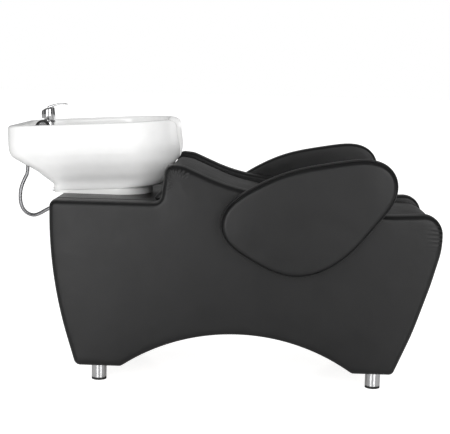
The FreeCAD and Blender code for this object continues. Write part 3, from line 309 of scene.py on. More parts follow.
riser_top = (-0.65476, -0.11500, 0.69494)
riser_line = np.linspace(hose_route[0], riser_top, 12)
hose_riser = add_object("shower_hose_riser", carried_tube("shower_hose_riser", riser_line, hose_radius - 0.0002))
riser_steel = hose_steel.copy()
riser_steel.name = "hose_steel_riser"
tree = riser_steel.node_tree
up_hose = node(tree, "SeparateXYZ", {"Vector": node(tree, "TexCoord").outputs["Object"]})
wave = maths(tree, "SINE", maths(tree, "MULTIPLY", up_hose.outputs["Z"], np.pi / ring_pitch))
rib_bump = node(tree, "Bump", {"Height": maths(tree, "ABSOLUTE", wave), "Strength": 1.0, "Distance": ring_depth})
tree.links.new(rib_bump.outputs[0], tree.nodes["Principled BSDF"].inputs["Normal"])
hose_riser.data.materials.append(riser_steel)
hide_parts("hose_riser")
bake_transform(hose_riser)

# The side panels: a timber core in thick foam, skinned in black leatherette that is pulled round
# the edge. The skin is gathered in small pleats round the neck corner and creases at the knee.

body_rear, body_length = -0.549, 1.256
body_foot, body_height = 0.060, 0.646
platform_height = 0.589
seat_half = 0.225
panel_outer = 0.300
side_corners = (  # along, up and the corner's radius, as shares of the body
    (0.068, -0.012, 0.034), (0.000, 0.430, 2.150), (0.000, 0.8189, 0.034), (0.282, 0.8189, 0.038),
    (0.2935, 1.008, 0.040), (0.338, 0.999, 0.124), (0.452, 0.903, 0.929), (0.848, 0.781, 0.619),
    (0.991, 0.796, 0.096), (0.992, 0.626, 0.400), (0.967, 0.443, 1.600), (0.927, 0.201, 1.600),
    (0.881, -0.012, 0.028), (0.778, -0.012, 0.019), (0.480, 0.356, 1.010), (0.185, -0.012, 0.019),
)


def placed_corners(rows, rear, length, foot, height):
    """Corner rows given as shares of a length and a height, in metres."""
    return [(rear + x * length, foot + z * height, r * height) for x, z, r in rows]


def corner_arcs(corner, radius):
    """The arcs that round a closed outline's corners: centres, starts, ends, first angles and sweeps.

    A corner of radius r whose runs open by an angle a has its arc's ends r / tan(a / 2) from the corner, and the
    arc's centre r / sin(a / 2) along the bisector.
    """
    back = unit(np.roll(corner, 1, axis=0) - corner)
    ahead = unit(np.roll(corner, -1, axis=0) - corner)
    half = np.arccos(np.clip((back * ahead).sum(1, keepdims=True), -1, 1)) / 2
    centre = corner + unit(back + ahead) * radius / np.sin(half)
    start = corner + back * radius / np.tan(half)
    end = corner + ahead * radius / np.tan(half)
    a, b = start - centre, end - centre
    sweep = np.arctan2(a[:, 0] * b[:, 1] - a[:, 1] * b[:, 0], (a * b).sum(1))
    return centre, start, end, np.arctan2(a[:, 1], a[:, 0]), sweep


def rounded_outline(corners, spacing, crowd=None):
    """Points along a closed outline of straight runs and tangent arcs.

    The points are one spacing apart, or closer by the factor that crowd gives for a place. The line is first cut
    into many short steps, so that the crowding can change along its long runs.
    """
    table = np.array(corners, float)
    centre, start, end, first, sweep = corner_arcs(table[:, :2], table[:, 2:])
    angle = first[:, None] + sweep[:, None] * np.linspace(0, 1, 60)
    loop = (centre[:, None] + table[:, 2:, None] * np.stack([np.cos(angle), np.sin(angle)], -1)).reshape(-1, 2)
    closed = np.vstack([loop, loop[:1]])
    steps = travelled(closed)
    closed = points_at(np.linspace(0, steps[-1], 8000), steps, closed)
    length = travelled(closed, 1.0 if crowd is None else crowd((closed[1:] + closed[:-1]) / 2))
    place = np.linspace(0, length[-1], int(length[-1] / spacing), endpoint=False)
    return points_at(place, length, closed)


def turning(loop):
    """1 for a loop that runs anticlockwise, -1 for one that runs clockwise."""
    after = np.roll(loop, -1, axis=0)
    return -1 if (loop[:, 0] * after[:, 1] - loop[:, 1] * after[:, 0]).sum() < 0 else 1


def along_loop(loop):
    """The direction of a closed loop at each point, from its neighbour before to its neighbour after."""
    return unit(np.roll(loop, -1, axis=0) - np.roll(loop, 1, axis=0))


def drawn_in(loop, insets, step=0.001, ease=3e-7):
    """The loop moved inwards by each inset.

    It goes in small steps. After each, the points are spread along the loop as they first were, and are drawn
    towards the line between their neighbours by ease / gap^2, so that the loop doesn't fold at its corners.
    """
    turn = turning(loop)
    weight = np.linalg.norm(np.roll(loop, -1, axis=0) - loop, axis=1, keepdims=True)
    before = np.roll(weight, 1, axis=0)
    rings, ring, inset = [], loop, 0.0
    for target in insets:
        while inset < target - 1e-9:
            reach = min(step, target - inset)
            run = along_loop(ring)
            ring = ring + turn * reach * np.stack([-run[:, 1], run[:, 0]], -1)
            for easing in range(12):
                ahead, back = np.roll(ring, -1, axis=0), np.roll(ring, 1, axis=0)
                run = unit(ahead - back)
                pull = (before * ahead + weight * back) / (before + weight) - ring
                along = run * (pull * run).sum(1, keepdims=True)
                gap = (np.linalg.norm(ahead - ring, axis=1, keepdims=True)
                       * np.linalg.norm(ring - back, axis=1, keepdims=True))
                ring = ring + along / 2 + (pull - along) * np.minimum(0.5, ease * reach / step / gap)
            inset += reach
        rings.append(ring)
    return rings


def nearest(points, loop):
    """For each point, how far the loop's nearest point is, and which one it is."""
    far, which = [], []
    for part in np.array_split(points, max(1, len(points) // 500)):
        gap = np.linalg.norm(part[:, None] - loop[None], axis=-1)
        far.append(gap.min(1))
        which.append(gap.argmin(1))
    return np.concatenate(far), np.concatenate(which)


def filling(ring, grids):
    """Points inside a ring, and triangles that join them and the ring, which keeps its numbering.

    The points come from grids, each given as its spacing and a test that takes places and their gaps to the ring.
    """
    low, high = ring.min(0), ring.max(0)
    after = np.roll(ring, -1, axis=0)
    rise = np.where(after[:, 1] == ring[:, 1], 1.0, after[:, 1] - ring[:, 1])
    kept = []
    for spacing, wanted in grids:
        grid = np.stack(np.meshgrid(*[np.arange(low[k], high[k], spacing) for k in range(2)]), -1).reshape(-1, 2)
        grid[:, 0] += np.where(np.round((grid[:, 1] - low[1]) / spacing) % 2 == 1, spacing / 2, 0)
        for part in np.array_split(grid, max(1, len(grid) // 2000)):
            crosses = (ring[:, 1] > part[:, None, 1]) != (after[:, 1] > part[:, None, 1])
            at = ring[:, 0] + (part[:, None, 1] - ring[:, 1]) * (after[:, 0] - ring[:, 0]) / rise
            part = part[(crosses & (part[:, None, 0] < at)).sum(1) % 2 == 1]
            gap = nearest(part, ring)[0]
            kept.append(part[(gap > spacing * 0.6) & wanted(part, gap)])
    inside = np.vstack(kept)
    count = len(ring)
    edges = [(i, (i + 1) % count) for i in range(count)]
    joined = delaunay_2d_cdt([Vector(point) for point in np.vstack([ring, inside])], edges, [], 1, 1e-7)
    old = [sources[0] for sources in joined[3]]
    return inside, [[old[i] for i in face] for face in joined[2]]


def evened(depth, triangles, fixed, passes):
    """Depths at a mesh's points, each pass moved half of the way to their neighbours' mean but for the fixed."""
    corners = np.array(triangles)
    ends = np.vstack([corners[:, [0, 1]], corners[:, [1, 2]], corners[:, [2, 0]]])
    ends = np.vstack([ends, ends[:, ::-1]])
    degree = np.bincount(ends[:, 0], minlength=len(depth))
    for step in range(passes):
        mean = np.bincount(ends[:, 0], depth[ends[:, 1]], len(depth)) / np.maximum(degree, 1)
        depth = np.where(np.arange(len(depth)) < fixed, depth, (depth + mean) / 2)
    return depth


def upright(plan, y):
    """Points of the side view as points in space, at one y or at one for each."""
    return np.column_stack([plan[:, 0], np.broadcast_to(y, len(plan)), plan[:, 1]])


def padded_slab(name, outline, inner, outer, inner_face, outer_face, band, relief=None):
    """A padded piece with a given outline seen from the side, from y = inner to y = outer.

    Each face is (insets, drop, grids): rings of the outline drawn in by the insets, a function that says how much
    lower than the face's plane a place lies by its inset, and the grids that fill the last ring. The band between
    the faces has even rows that bulge by band[1] at the middle as sin(pi * share). relief(points, inset) adds a
    height to the outer face.
    """
    sign = 1 if outer > inner else -1
    inner_rings = drawn_in(outline, inner_face[0])
    outer_rings = drawn_in(outline, outer_face[0])
    rows = []
    for ring, inset in list(zip(inner_rings, inner_face[0]))[::-1]:
        rows.append(upright(ring, inner + sign * inner_face[1](inset)))
    start = inner + sign * inner_face[1](0.0)
    end = outer - sign * outer_face[1](0.0)
    run = along_loop(outline)
    outwards = np.stack([run[:, 1], -run[:, 0]], -1) * turning(outline)
    for share in np.linspace(0, 1, band[0] + 1)[1:-1]:
        rows.append(upright(outline + outwards * band[1] * math.sin(math.pi * share), start + share * (end - start)))
    for ring, inset in zip(outer_rings, outer_face[0]):
        height = -outer_face[1](inset) + (0 if relief is None else relief(ring, np.full(len(ring), inset)))
        rows.append(upright(ring, outer + sign * height))
    grid = np.stack(rows)
    count, columns = grid.shape[:2]
    points = [grid.reshape(-1, 3)]
    total = count * columns
    faces = []
    ends = ((inner_rings[-1], inner_face, inner, sign, 0, None),
            (outer_rings[-1], outer_face, outer, -sign, (count - 1) * columns, relief))
    for ring, (insets, drop, grids), plane, towards, base, carving in ends:
        inside, triangles = filling(ring, grids)
        gap = insets[-1] + nearest(inside, ring)[0]
        depth = evened(np.append(np.full(columns, drop(insets[-1])), drop(gap)), triangles, columns, 4)[columns:]
        if carving is not None:
            depth = depth - carving(inside, gap)
        points.append(upright(inside, plane + towards * depth))
        corners = np.array(triangles)
        faces += np.where(corners < columns, base + corners, total - columns + corners).tolist()
        total += len(inside)
    return add_object(name, agreeing_mesh(name, np.vstack(points), row_faces(count, columns) + faces))


def agreeing_mesh(name, points, polygons):
    """A closed smooth mesh whose faces are all turned outwards."""
    mesh = bpy.data.meshes.new(name)
    mesh.from_pydata(points, [], polygons)
    shell = bmesh.new()
    shell.from_mesh(mesh)
    bmesh.ops.recalc_face_normals(shell, faces=shell.faces)
    shell.to_mesh(mesh)
    shell.free()
    mesh.shade_smooth()
    return mesh


def soft_edge(radius, swell, reach):
    """The drop of a face whose edge is a quarter circle and that swells beyond it as swell * exp(-inset / reach)."""
    return lambda inset: (radius - np.sqrt(np.clip(radius ** 2 - np.clip(radius - inset, 0, None) ** 2, 0, None))
                          + swell * np.exp(-inset / reach))


def edge_insets(radius, depth, count):
    """Insets from 0 to a depth whose rings are evenly spaced along a quarter circle of that radius."""
    return [radius * (1 - math.cos(a)) for a in np.linspace(0, math.acos(1 - depth / radius), count)]


neck_corner = np.array([body_rear + 0.3120 * body_length, body_foot + 0.985 * body_height])
knee_corner = np.array([body_rear + 0.992 * body_length, body_foot + 0.700 * body_height])


def to_neck(place):
    return np.linalg.norm(place - neck_corner, axis=1)


def to_knee(place):
    return np.linalg.norm(place - knee_corner, axis=1)


def plain(place):
    """Places clear of the finer grids at both corners."""
    return (to_neck(place) > 0.09) & (to_knee(place) > 0.095)


def flat_face(radius, count, spacing):
    """A flat face with a round edge, in the form that padded_slab takes, filled by one grid."""
    return (edge_insets(radius, radius, count), soft_edge(radius, 0.0, 0.1),
            ((spacing, lambda place, gap: gap > 0),))


panel_corners = placed_corners(side_corners, body_rear, body_length, body_foot, body_height)
panel_outline = rounded_outline(panel_corners, 0.0055, lambda place: (
    1 + 2.2 * np.exp(-(to_neck(place) / 0.05) ** 2) + 1.2 * np.exp(-(to_knee(place) / 0.08) ** 2)))
panel_grids = (
    (0.0030, lambda place, gap: to_neck(place) < 0.085),
    (0.0045, lambda place, gap: (to_neck(place) >= 0.087) & ((gap < 0.024) | (to_knee(place) < 0.09))),
    (0.0100, lambda place, gap: (gap >= 0.027) & (gap < 0.06) & plain(place)),
    (0.0200, lambda place, gap: (gap >= 0.068) & plain(place)),
)
panel_outer_face = (edge_insets(0.018, 0.012, 9), soft_edge(0.018, 0.0055, 0.09), panel_grids)
panel_inner_face = flat_face(0.011, 6, 0.022)
gather_height, crease_height = 0.0065, 0.0022


def panel_relief(place, inset):
    """The gathers at the neck corner and the creases at the knee corner, as a height on the outer face.

    Both are waves of the angle or height round their corner, sharpened by a power, that die away from it as a bell
    curve and with the inset.
    """
    from_neck = place - (neck_corner + (0.016, -0.046))
    angle = np.arctan2(from_neck[:, 1], from_neck[:, 0])
    gathers = np.abs(np.sin(angle * 12.0 + 0.9 * np.sin(angle * 3.1))) ** 0.7 - 0.6
    fade = (np.exp(-((inset - 0.0190) / 0.0100) ** 2) * np.clip(np.sin((angle - 0.5) / 2.9 * np.pi), 0, 1) ** 0.5
            * (np.linalg.norm(from_neck, axis=1) < 0.09))
    from_knee = place - (knee_corner - (0.020, 0.0))
    waves = np.sin(from_knee[:, 1] * 2 * np.pi / 0.013 + 25 * from_knee[:, 0])
    bell = np.exp(-(from_knee[:, 0] / 0.020) ** 2 - (from_knee[:, 1] / 0.036) ** 2)
    return gather_height * gathers * fade + crease_height * waves * bell


leatherette, leather_shader = surface("leatherette", Base_Color=(0.0065, 0.0065, 0.0068, 1), Roughness=0.40)
leather_shader.inputs["Specular IOR Level"].default_value = 0.38
tree = leatherette.node_tree
leather_place = node(tree, "TexCoord").outputs["Object"]
mottle = node(tree, "TexNoise", {"Vector": leather_place, "Scale": 9.0, "Detail": 4.0, "Roughness": 0.6})
for socket, stops in (("Base Color", [(0.3, (0.0054, 0.0054, 0.0057)), (0.7, (0.0080, 0.0080, 0.0083))]),
                      ("Roughness", [(0.3, 0.35), (0.7, 0.45)])):
    tree.links.new(blend_colours(tree, mottle.outputs["Fac"], stops), leather_shader.inputs[socket])
pebbles = node(tree, "TexVoronoi", {"Vector": leather_place, "Scale": 620.0, "Randomness": 1.0},
               feature="DISTANCE_TO_EDGE")
hair = node(tree, "TexNoise", {"Vector": leather_place, "Scale": 420.0, "Detail": 3.0})
grain = maths(tree, "ADD", pebbles.outputs["Distance"], hair.outputs["Fac"])
fine_bump = node(tree, "Bump", {"Height": grain, "Strength": 0.35, "Distance": 0.0004})
slack = node(tree, "TexNoise", {"Vector": leather_place, "Scale": 14.0, "Detail": 2.0})
slack_bump = node(tree, "Bump", {"Height": slack.outputs["Fac"], "Strength": 0.25, "Distance": 0.004,
                                 "Normal": fine_bump.outputs[0]})
tree.links.new(slack_bump.outputs[0], leather_shader.inputs["Normal"])


def fitted(piece, material, slot, body, *replaced):
    """Gives a piece its material and puts it on a body in place of its CAD nodes."""
    piece.data.materials.append(material)
    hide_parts(*replaced)
    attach(piece, body)


def upholstered(piece, *replaced):
    """Gives a padded piece its leatherette, on the bed and in place of its CAD nodes."""
    fitted(piece, leatherette, "leatherette", "bed", *replaced)


panel_skin = 0.0012
for side, sign in (("right", -1), ("left", 1)):
    panel = padded_slab(f"{side}_panel", panel_outline, sign * (seat_half - panel_skin), sign * panel_outer,
                        panel_inner_face, panel_outer_face, (7, 0.0015), panel_relief)
    upholstered(panel, f"{side}_side_pad")

# The cushions: foam on boards in a stretched leatherette cover, crowned across the bed so that
# their tops fall away to both side panels.

neck_x, crease_x, knee_x = -0.134, 0.319, 0.707
seat_height, back_foot_height = 0.473, 0.442
soft_gap = 0.0003
cushion_half = seat_half - panel_skin - 0.0005
crown = 0.024
back_profile = [
    (crease_x - 0.001, back_foot_height + 0.0007, 0.008),
    (neck_x + soft_gap, platform_height + soft_gap, 0.008),
    (neck_x - 0.092, platform_height + soft_gap, 0.008),
    (-0.19000, 0.65000, 0.060),
    (-0.16600, 0.70400, 0.018),
    (-0.12195, 0.69700, 0.060),
    (0.02369, 0.63500, 0.452),
    (0.12670, 0.61325, 0.291),
    (crease_x - 0.001, 0.522, 0.018),
]
seat_profile = [
    (knee_x - 0.0044, seat_height + soft_gap, 0.012),
    (crease_x + 0.001, seat_height + soft_gap, 0.006),
    (crease_x + 0.001, 0.5285, 0.018),
    (0.51859, 0.56000, 0.1486),
    (0.69900, 0.55700, 0.0700),
]


def crowned(piece, base_height):
    """The top falls by crown * (0.6 u^3 + 0.4 u^20) at a share u of the half width, the base stays."""
    mesh = piece.data
    points = np.empty(len(mesh.vertices) * 3)
    mesh.vertices.foreach_get("co", points)
    points = points.reshape(-1, 3)
    share = np.abs(points[:, 1]) / seat_half
    lift = np.clip((points[:, 2] - base_height(points[:, 0])) / 0.05, 0, 1)
    points[:, 2] -= crown * (0.6 * share ** 3 + 0.4 * share ** 20) * lift
    mesh.vertices.foreach_set("co", points.ravel())
    mesh.update()
    return piece


def back_base(x):
    return np.interp(x, [neck_x, crease_x], [platform_height, back_foot_height])


def seat_base(x):
    return np.full_like(x, seat_height)


cushion_face = flat_face(0.012, 7, 0.012)
for name, profile, base in (("back_cushion", back_profile, back_base), ("seat_cushion", seat_profile, seat_base)):
    outline = rounded_outline(profile, 0.005)
    cushion = padded_slab(name + "_cover", outline, -cushion_half, cushion_half, cushion_face, cushion_face, (52, 0.0))
    upholstered(crowned(cushion, base), name)

# The armrests: an egg-shaped board under foam, with a face of leatherette sewn to a narrow boxing
# strip. The seam lies just inside the edge and the face swells up behind it.

armrest_rear, armrest_length = 0.003, 0.541
armrest_foot, armrest_height = 0.375, 0.370
armrest_gap, armrest_thickness = 0.008, 0.057
armrest_corners = (
    (-0.033, 0.530, 0.226), (0.298, 0.880, 1.464), (0.736, 0.993, 1.383), (1.013, 1.010, 0.225),
    (0.995, 0.671, 0.261), (0.736, 0.180, 0.701), (0.518, -0.006, 0.324), (0.314, 0.010, 0.388),
    (0.014, 0.270, 0.200),
)
armrest_outline = rounded_outline(placed_corners(
    armrest_corners, armrest_rear, armrest_length, armrest_foot, armrest_height), 0.004)
# The runs and arcs become one even curve: only the slow waves of the outline are kept.
waves = np.fft.fft(armrest_outline[:, 0] + 1j * armrest_outline[:, 1])
order = np.abs(np.fft.fftfreq(len(waves), 1 / len(waves)))
curve = np.fft.ifft(waves * np.exp(-(order / 7.5) ** 4))
armrest_outline = np.stack([curve.real, curve.imag], -1)
bead = np.array([(0.0, 0.0182), (0.0005, 0.0170), (0.0016, 0.0161), (0.0028, 0.0163), (0.0035, 0.0182),
                 (0.0041, 0.0184), (0.0047, 0.0170)])
seam_place, face_start = 0.0044, 0.0047
armrest_edge = soft_edge(0.012, 0.0065, 0.07)


def armrest_drop(inset):
    """A bead of boxing along the edge, the seam's groove, and the face's own rounded edge behind it."""
    face = armrest_edge(np.clip(inset - seam_place, 0, None)) - 0.0004
    return np.where(inset < face_start, np.interp(inset, bead[:, 0], bead[:, 1]), face)


def armrest_relief(place, inset):
    """Slight unevenness of the hand-stretched face: two slow crossed waves, still at the seam."""
    slow = np.sin(place[:, 0] * 31 + 2.0 * np.sin(place[:, 1] * 23)) * np.sin(place[:, 1] * 37 + 0.6)
    return 0.0005 * slow * np.clip((inset - 0.012) / 0.02, 0, 1)


armrest_skin = 0.0010
armrest_insets = bead[:, 0].tolist() + [seam_place + inset for inset in edge_insets(0.012, 0.012, 10)[2:]]
armrest_insets += [0.020, 0.025]
armrest_face = (armrest_insets, armrest_drop, ((0.009, lambda place, gap: gap > 0),))
armrest_back = flat_face(0.010, 6, 0.02)
for side, sign in (("right", -1), ("left", 1)):
    near = sign * (panel_outer + armrest_gap - armrest_skin)
    armrest = padded_slab(f"{side}_armrest", armrest_outline, near, near + sign * (armrest_thickness + armrest_skin),
                          armrest_back, armrest_face, (8, 0.0020), armrest_relief)
    upholstered(armrest, f"{side}_armrest_pad")

# The ends of the body and the platform's cover: boards in a thin layer of foam under the same
# leatherette. The ends follow the side panels' outline, set back from it; the cover laps over the rear.


def hollowed(thing, low, high, turn=Matrix()):
    """The thing with a box cut out of it, given by two of its corners before it is turned."""
    low, high = np.array(low), np.array(high)
    corners = np.array([(0, 0), (1, 0), (1, 1), (0, 1)])
    flat = low[:2] + corners * (high - low)[:2]
    box = closed_mesh("hollow", np.stack([np.column_stack([flat, np.full(4, z)]) for z in (low[2], high[2])]))
    box.transform(turn)
    cutter = add_object("hollow", box)
    cut = thing.modifiers.new("hollow", "BOOLEAN")
    cut.operation, cut.solver, cut.object = "DIFFERENCE", "EXACT", cutter
    bpy.context.view_layer.update()
    result = bpy.data.meshes.new_from_object(thing.evaluated_get(bpy.context.evaluated_depsgraph_get()))
    thing.modifiers.remove(cut)
    thing.data = result
    bpy.data.objects.remove(cutter)
    return thing


thin_face = flat_face(0.004, 5, 0.02)
cover_rear, board_rear = body_rear + 0.002, body_rear + 0.0117
cover_foot, lip_foot = platform_height - 0.0138, platform_height - 0.023
cover_profile = rounded_outline([
    (cover_rear, platform_height, 0.017), (neck_x, platform_height, 0.005), (neck_x, cover_foot, 0.003),
    (board_rear, cover_foot, 0.001), (board_rear, lip_foot, 0.0025), (cover_rear, lip_foot, 0.0025)], 0.003)
cover = padded_slab("platform_pad", cover_profile, -cushion_half, cushion_half, thin_face, thin_face, (60, 0.0))
hollowed(cover, (-0.474, -0.060, 0.55), (-0.324, 0.060, 0.62))
upholstered(cover, "platform_cover")

set_back, board_back = drawn_in(panel_outline, [0.012, 0.0275])
rear_top, knee_top = 0.5697, 0.4726
corner_height = 0.0062
for name, top, on_this_end in (("rear_panel", rear_top, set_back[:, 0] < -0.4173),
                               ("knee_panel", knee_top, set_back[:, 0] > 0.5173)):
    wanted = on_this_end & (set_back[:, 1] < top)
    after_gap = np.flatnonzero(wanted & ~np.roll(wanted, 1))[0]
    run = np.roll(np.arange(len(wanted)), -after_gap)[:wanted.sum()]
    strip = np.vstack([set_back[run], board_back[run[::-1]]])
    strip[:, 1] = np.where(strip[:, 1] > top - corner_height, top, strip[:, 1])
    closed = np.vstack([strip, strip[:1]])
    strip = evenly(np.column_stack([closed, np.zeros(len(closed))]), 0.005)[0][:-1, :2]
    end_panel = padded_slab(name + "_pad", strip, -cushion_half, cushion_half, thin_face, thin_face, (60, 0.0))
    upholstered(end_panel, name)

# The basin: one piece of vitreous china, slip cast and glazed white, tilted a few degrees. The bowl
# has a flat deck behind it and a deep notch for the neck with a rolled lip.

basin_origin = np.array([-0.571, 0.0, 0.5973])
basin_tilt = math.radians(3.3)
rim_height = 0.222
notch_radius, notch_centre = 0.095, 0.195
outer_table = np.array([
    (0, 0, 344, 122), (6, 0, 364, 125), (20, 0, 379, 131), (32, -11, 386, 139), (51, -31, 394, 157),
    (67, -47, 400, 171), (92, -84, 411, 192), (117, -119, 420, 208), (128, -126, 423, 214), (146, -129, 426, 222),
    (180, -127, 427, 234), (213, -124, 427, 242)], float) / 1000
inner_table = np.array([
    (213, -107, 407, 226), (196, -106, 406, 222), (181, -104, 405, 217), (176.5, -99, 404, 214),
    (175, -86, 404, 213), (175, -50, 404, 213), (175, -18, 404, 212.5), (174.5, 8, 404, 212), (171, 20, 403, 210),
    (160, 27, 401, 207), (138, 31, 399, 202), (117, 35, 396, 195), (92, 46, 386, 178), (70, 61, 372, 158),
    (52, 80, 352, 130), (40, 104, 325, 100), (33, 128, 280, 70), (30.5, 140, 215, 40), (30, 146, 198, 26),
], float) / 1000
front_start = 0.2


def smooth_rows(table, count):
    """Catmull-Rom curve through a table's rows, at even steps of the chord length."""
    chord = np.concatenate([[0], np.cumsum(np.linalg.norm(np.diff(table, axis=0), axis=1) ** 0.5)])
    slope = np.empty_like(table)
    slope[1:-1] = (table[2:] - table[:-2]) / (chord[2:] - chord[:-2])[:, None]
    slope[0] = (table[1] - table[0]) / (chord[1] - chord[0])
    slope[-1] = (table[-1] - table[-2]) / (chord[-1] - chord[-2])
    place = np.linspace(0, chord[-1], count)
    i = np.clip(np.searchsorted(chord, place, side="right") - 1, 0, len(chord) - 2)
    width = (chord[i + 1] - chord[i])[:, None]
    t = ((place - chord[i]) / (chord[i + 1] - chord[i]))[:, None]
    return ((2 * t ** 3 - 3 * t ** 2 + 1) * table[i] + (t ** 3 - 2 * t ** 2 + t) * width * slope[i]
            + (3 * t ** 2 - 2 * t ** 3) * table[i + 1] + (t ** 3 - t ** 2) * width * slope[i + 1])


def plan_at(where, rear, front, half):
    """Points of a level outline at places 0 to 8 round it: even spans are corner arcs, odd ones are runs.

    The four corners are (rear, -0.88 half), (front, -half), (front, half) and (rear, 0.88 half), with radii
    0.25 half at the rear and 0.92 half at the front, rounded as the bed's outlines are.
    """
    corner = np.array([(rear, -0.88 * half), (front, -half), (front, half), (rear, 0.88 * half)])
    radius = np.array([0.25, 0.92, 0.92, 0.25])[:, None] * half
    centre, start, end, first, sweep = corner_arcs(corner, radius)
    span = np.floor(where).astype(int) % 8
    share = (where - np.floor(where))[:, None]
    c = span // 2
    angle = first[c][:, None] + sweep[c][:, None] * share
    on_arc = centre[c] + radius[c] * np.concatenate([np.cos(angle), np.sin(angle)], 1)
    on_run = end[c] + (start[(c + 1) % 4] - end[c]) * share
    return np.where((span % 2 == 0)[:, None], on_arc, on_run)


def rim_level(plan):
    """The rim's height: level, then a quarter round of 20 mm down into the round notch at the front."""
    across = np.abs(plan[:, 1])
    shoulder = 0.020
    corner = rim_height - shoulder + np.sqrt(np.clip(shoulder ** 2 - (notch_radius + shoulder - across) ** 2, 0, None))
    notch = notch_centre - np.sqrt(np.clip(notch_radius ** 2 - across ** 2, 0, None))
    level = np.where(across < notch_radius, notch, corner)
    return np.where((across > notch_radius + shoulder) | (plan[:, 0] <= front_start), rim_height, level)


def basin_grid():
    """The basin's surface: outside from the foot up, over the rim, and down inside to the waste.

    Columns are spread evenly along the rim's own curve in space. Rows follow the two tables. In the notch's columns
    the rows are squeezed so that both walls end at the notch's edge, and the rim is half a circle between them.
    """
    dense = np.linspace(0, 8, 6000, endpoint=False)
    top = plan_at(dense, *outer_table[-1, 1:])
    curve = np.column_stack([top, rim_level(top)])
    length = travelled(np.vstack([curve, curve[:1]]))
    where = np.interp(np.linspace(0, length[-1], 420, endpoint=False), length, np.append(dense, 8.0))
    level = rim_level(plan_at(where, *outer_table[-1, 1:]))
    outer = smooth_rows(outer_table, 300)
    inner = smooth_rows(inner_table, 400)
    walls = []
    for rows, low, count in ((outer, 0.0, 56), (inner[::-1], inner[-1, 0], 84)):
        plans = np.stack([plan_at(where, *row) for row in rows[:, 1:]])
        heights = np.maximum.accumulate(rows[:, 0])
        place = np.linspace(0, len(rows) - 1, count)
        wanted = np.interp(place, np.arange(len(rows)), heights)
        squeeze = (level - (rim_height - heights[-1]) - low) / (heights[-1] - low)
        goal = low + (wanted[:, None] - low) * squeeze[None]
        at = np.interp(goal, heights + np.arange(len(heights)) * 1e-9, np.arange(len(heights)))
        at = np.where(squeeze[None] > 0.9999, place[:, None], at)
        below = np.clip(np.floor(at).astype(int), 0, len(rows) - 2)
        part = (at - below)[..., None]
        columns = np.arange(len(where))[None]
        flat = plans[below, columns] * (1 - part) + plans[below + 1, columns] * part
        tall = heights[below] * (1 - part[..., 0]) + heights[below + 1] * part[..., 0]
        walls.append(np.concatenate([flat, tall[..., None]], -1))
    outside, inside = walls[0], walls[1][::-1]
    for wall, push in ((outside, 0.012), (inside, -0.007)):
        from_notch = np.where(wall[..., 2] < notch_centre, np.hypot(wall[..., 1], wall[..., 2] - notch_centre),
                              np.abs(wall[..., 1]))
        roll = np.exp(-(np.clip(from_notch - notch_radius, 0, None) / 0.016) ** 2) * (wall[..., 0] > front_start)
        wall[..., 0] += push * roll
    angle = np.linspace(0, np.pi, 12)[1:-1, None, None]
    middle = (outside[-1] + inside[0]) / 2
    reach = (outside[-1] - inside[0]) / 2
    over = middle + reach * np.cos(angle)
    over[..., 2] += 0.009 * np.sin(angle[..., 0])
    return np.concatenate([outside, over, inside])


def on_basin(points):
    """Points of the basin's own level frame, put where the tilted basin stands."""
    x, y, z = np.moveaxis(np.asarray(points, float), -1, 0)
    return basin_origin + np.stack([x * math.cos(basin_tilt) - z * math.sin(basin_tilt), y,
                                    x * math.sin(basin_tilt) + z * math.cos(basin_tilt)], -1)


def solid(name, grid):
    return add_object(name, closed_mesh(name, grid))


basin = solid("basin_china", on_basin(basin_grid()))
basin_place = Matrix.Translation(basin_origin) @ Matrix.Rotation(-basin_tilt, 4, "Y")
hollowed(basin, (-0.100, -0.139, -0.02), (-0.056, -0.091, 0.157), basin_place)
hollowed(basin, (-0.050, -0.036, -0.02), (-0.004, 0.036, 0.157), basin_place)
basin.data.shade_smooth()
china, china_shader = surface("white_china", Base_Color=(0.93, 0.93, 0.925, 1), Roughness=0.10)
china_shader.inputs["Coat Weight"].default_value = 0.5
china_shader.inputs["Coat Roughness"].default_value = 0.03
tree = china.node_tree
china_place = node(tree, "TexCoord").outputs["Object"]
glaze = node(tree, "TexNoise", {"Vector": china_place, "Scale": 26.0, "Detail": 2.0})
glaze_bump = node(tree, "Bump", {"Height": glaze.outputs["Fac"], "Strength": 0.08, "Distance": 0.002})
tree.links.new(glaze_bump.outputs[0], china_shader.inputs["Normal"])
tree.links.new(blend_colours(tree, glaze.outputs["Fac"], [(0.3, (0.915, 0.915, 0.91)), (0.7, (0.94, 0.94, 0.935))]),
               china_shader.inputs["Base Color"])
fitted(basin, china, "ceramic", "basin", "basin_bowl")

# Metal fittings: chromed brass for the mixer and the hand shower, chromed tube for the feet, zinc
# plated steel for hinge and screws, plain brass under the deck.

chrome = noisy("chrome", (0.80, 0.80, 0.81), 0.07, 60.0, 3.0, [(0.35, 0.05), (0.75, 0.11)], metallic=1.0)
zinc = noisy("zinc_plate", (0.55, 0.55, 0.55), 0.35, 300.0, 4.0, [(0.3, 0.28), (0.7, 0.48)], metallic=1.0)
brass = noisy("brass", (0.75, 0.60, 0.32), 0.3, 90.0, 4.0, [(0.3, (0.75, 0.60, 0.32)), (0.7, (0.62, 0.47, 0.24))],
              "Base Color", 1.0)
rubber = noisy("rubber", (0.02, 0.02, 0.02), 0.7, 120.0, 5.0, [(0.35, 0.6), (0.7, 0.85)])
black_plastic = noisy("black_plastic", (0.02, 0.02, 0.02), 0.22, 200.0, 2.0, [(0.35, 0.17), (0.7, 0.3)])
white_plinth = noisy("plinth_white", (0.83, 0.83, 0.82), 0.15, 40.0, 2.0, [(0.3, 0.12), (0.7, 0.2)])



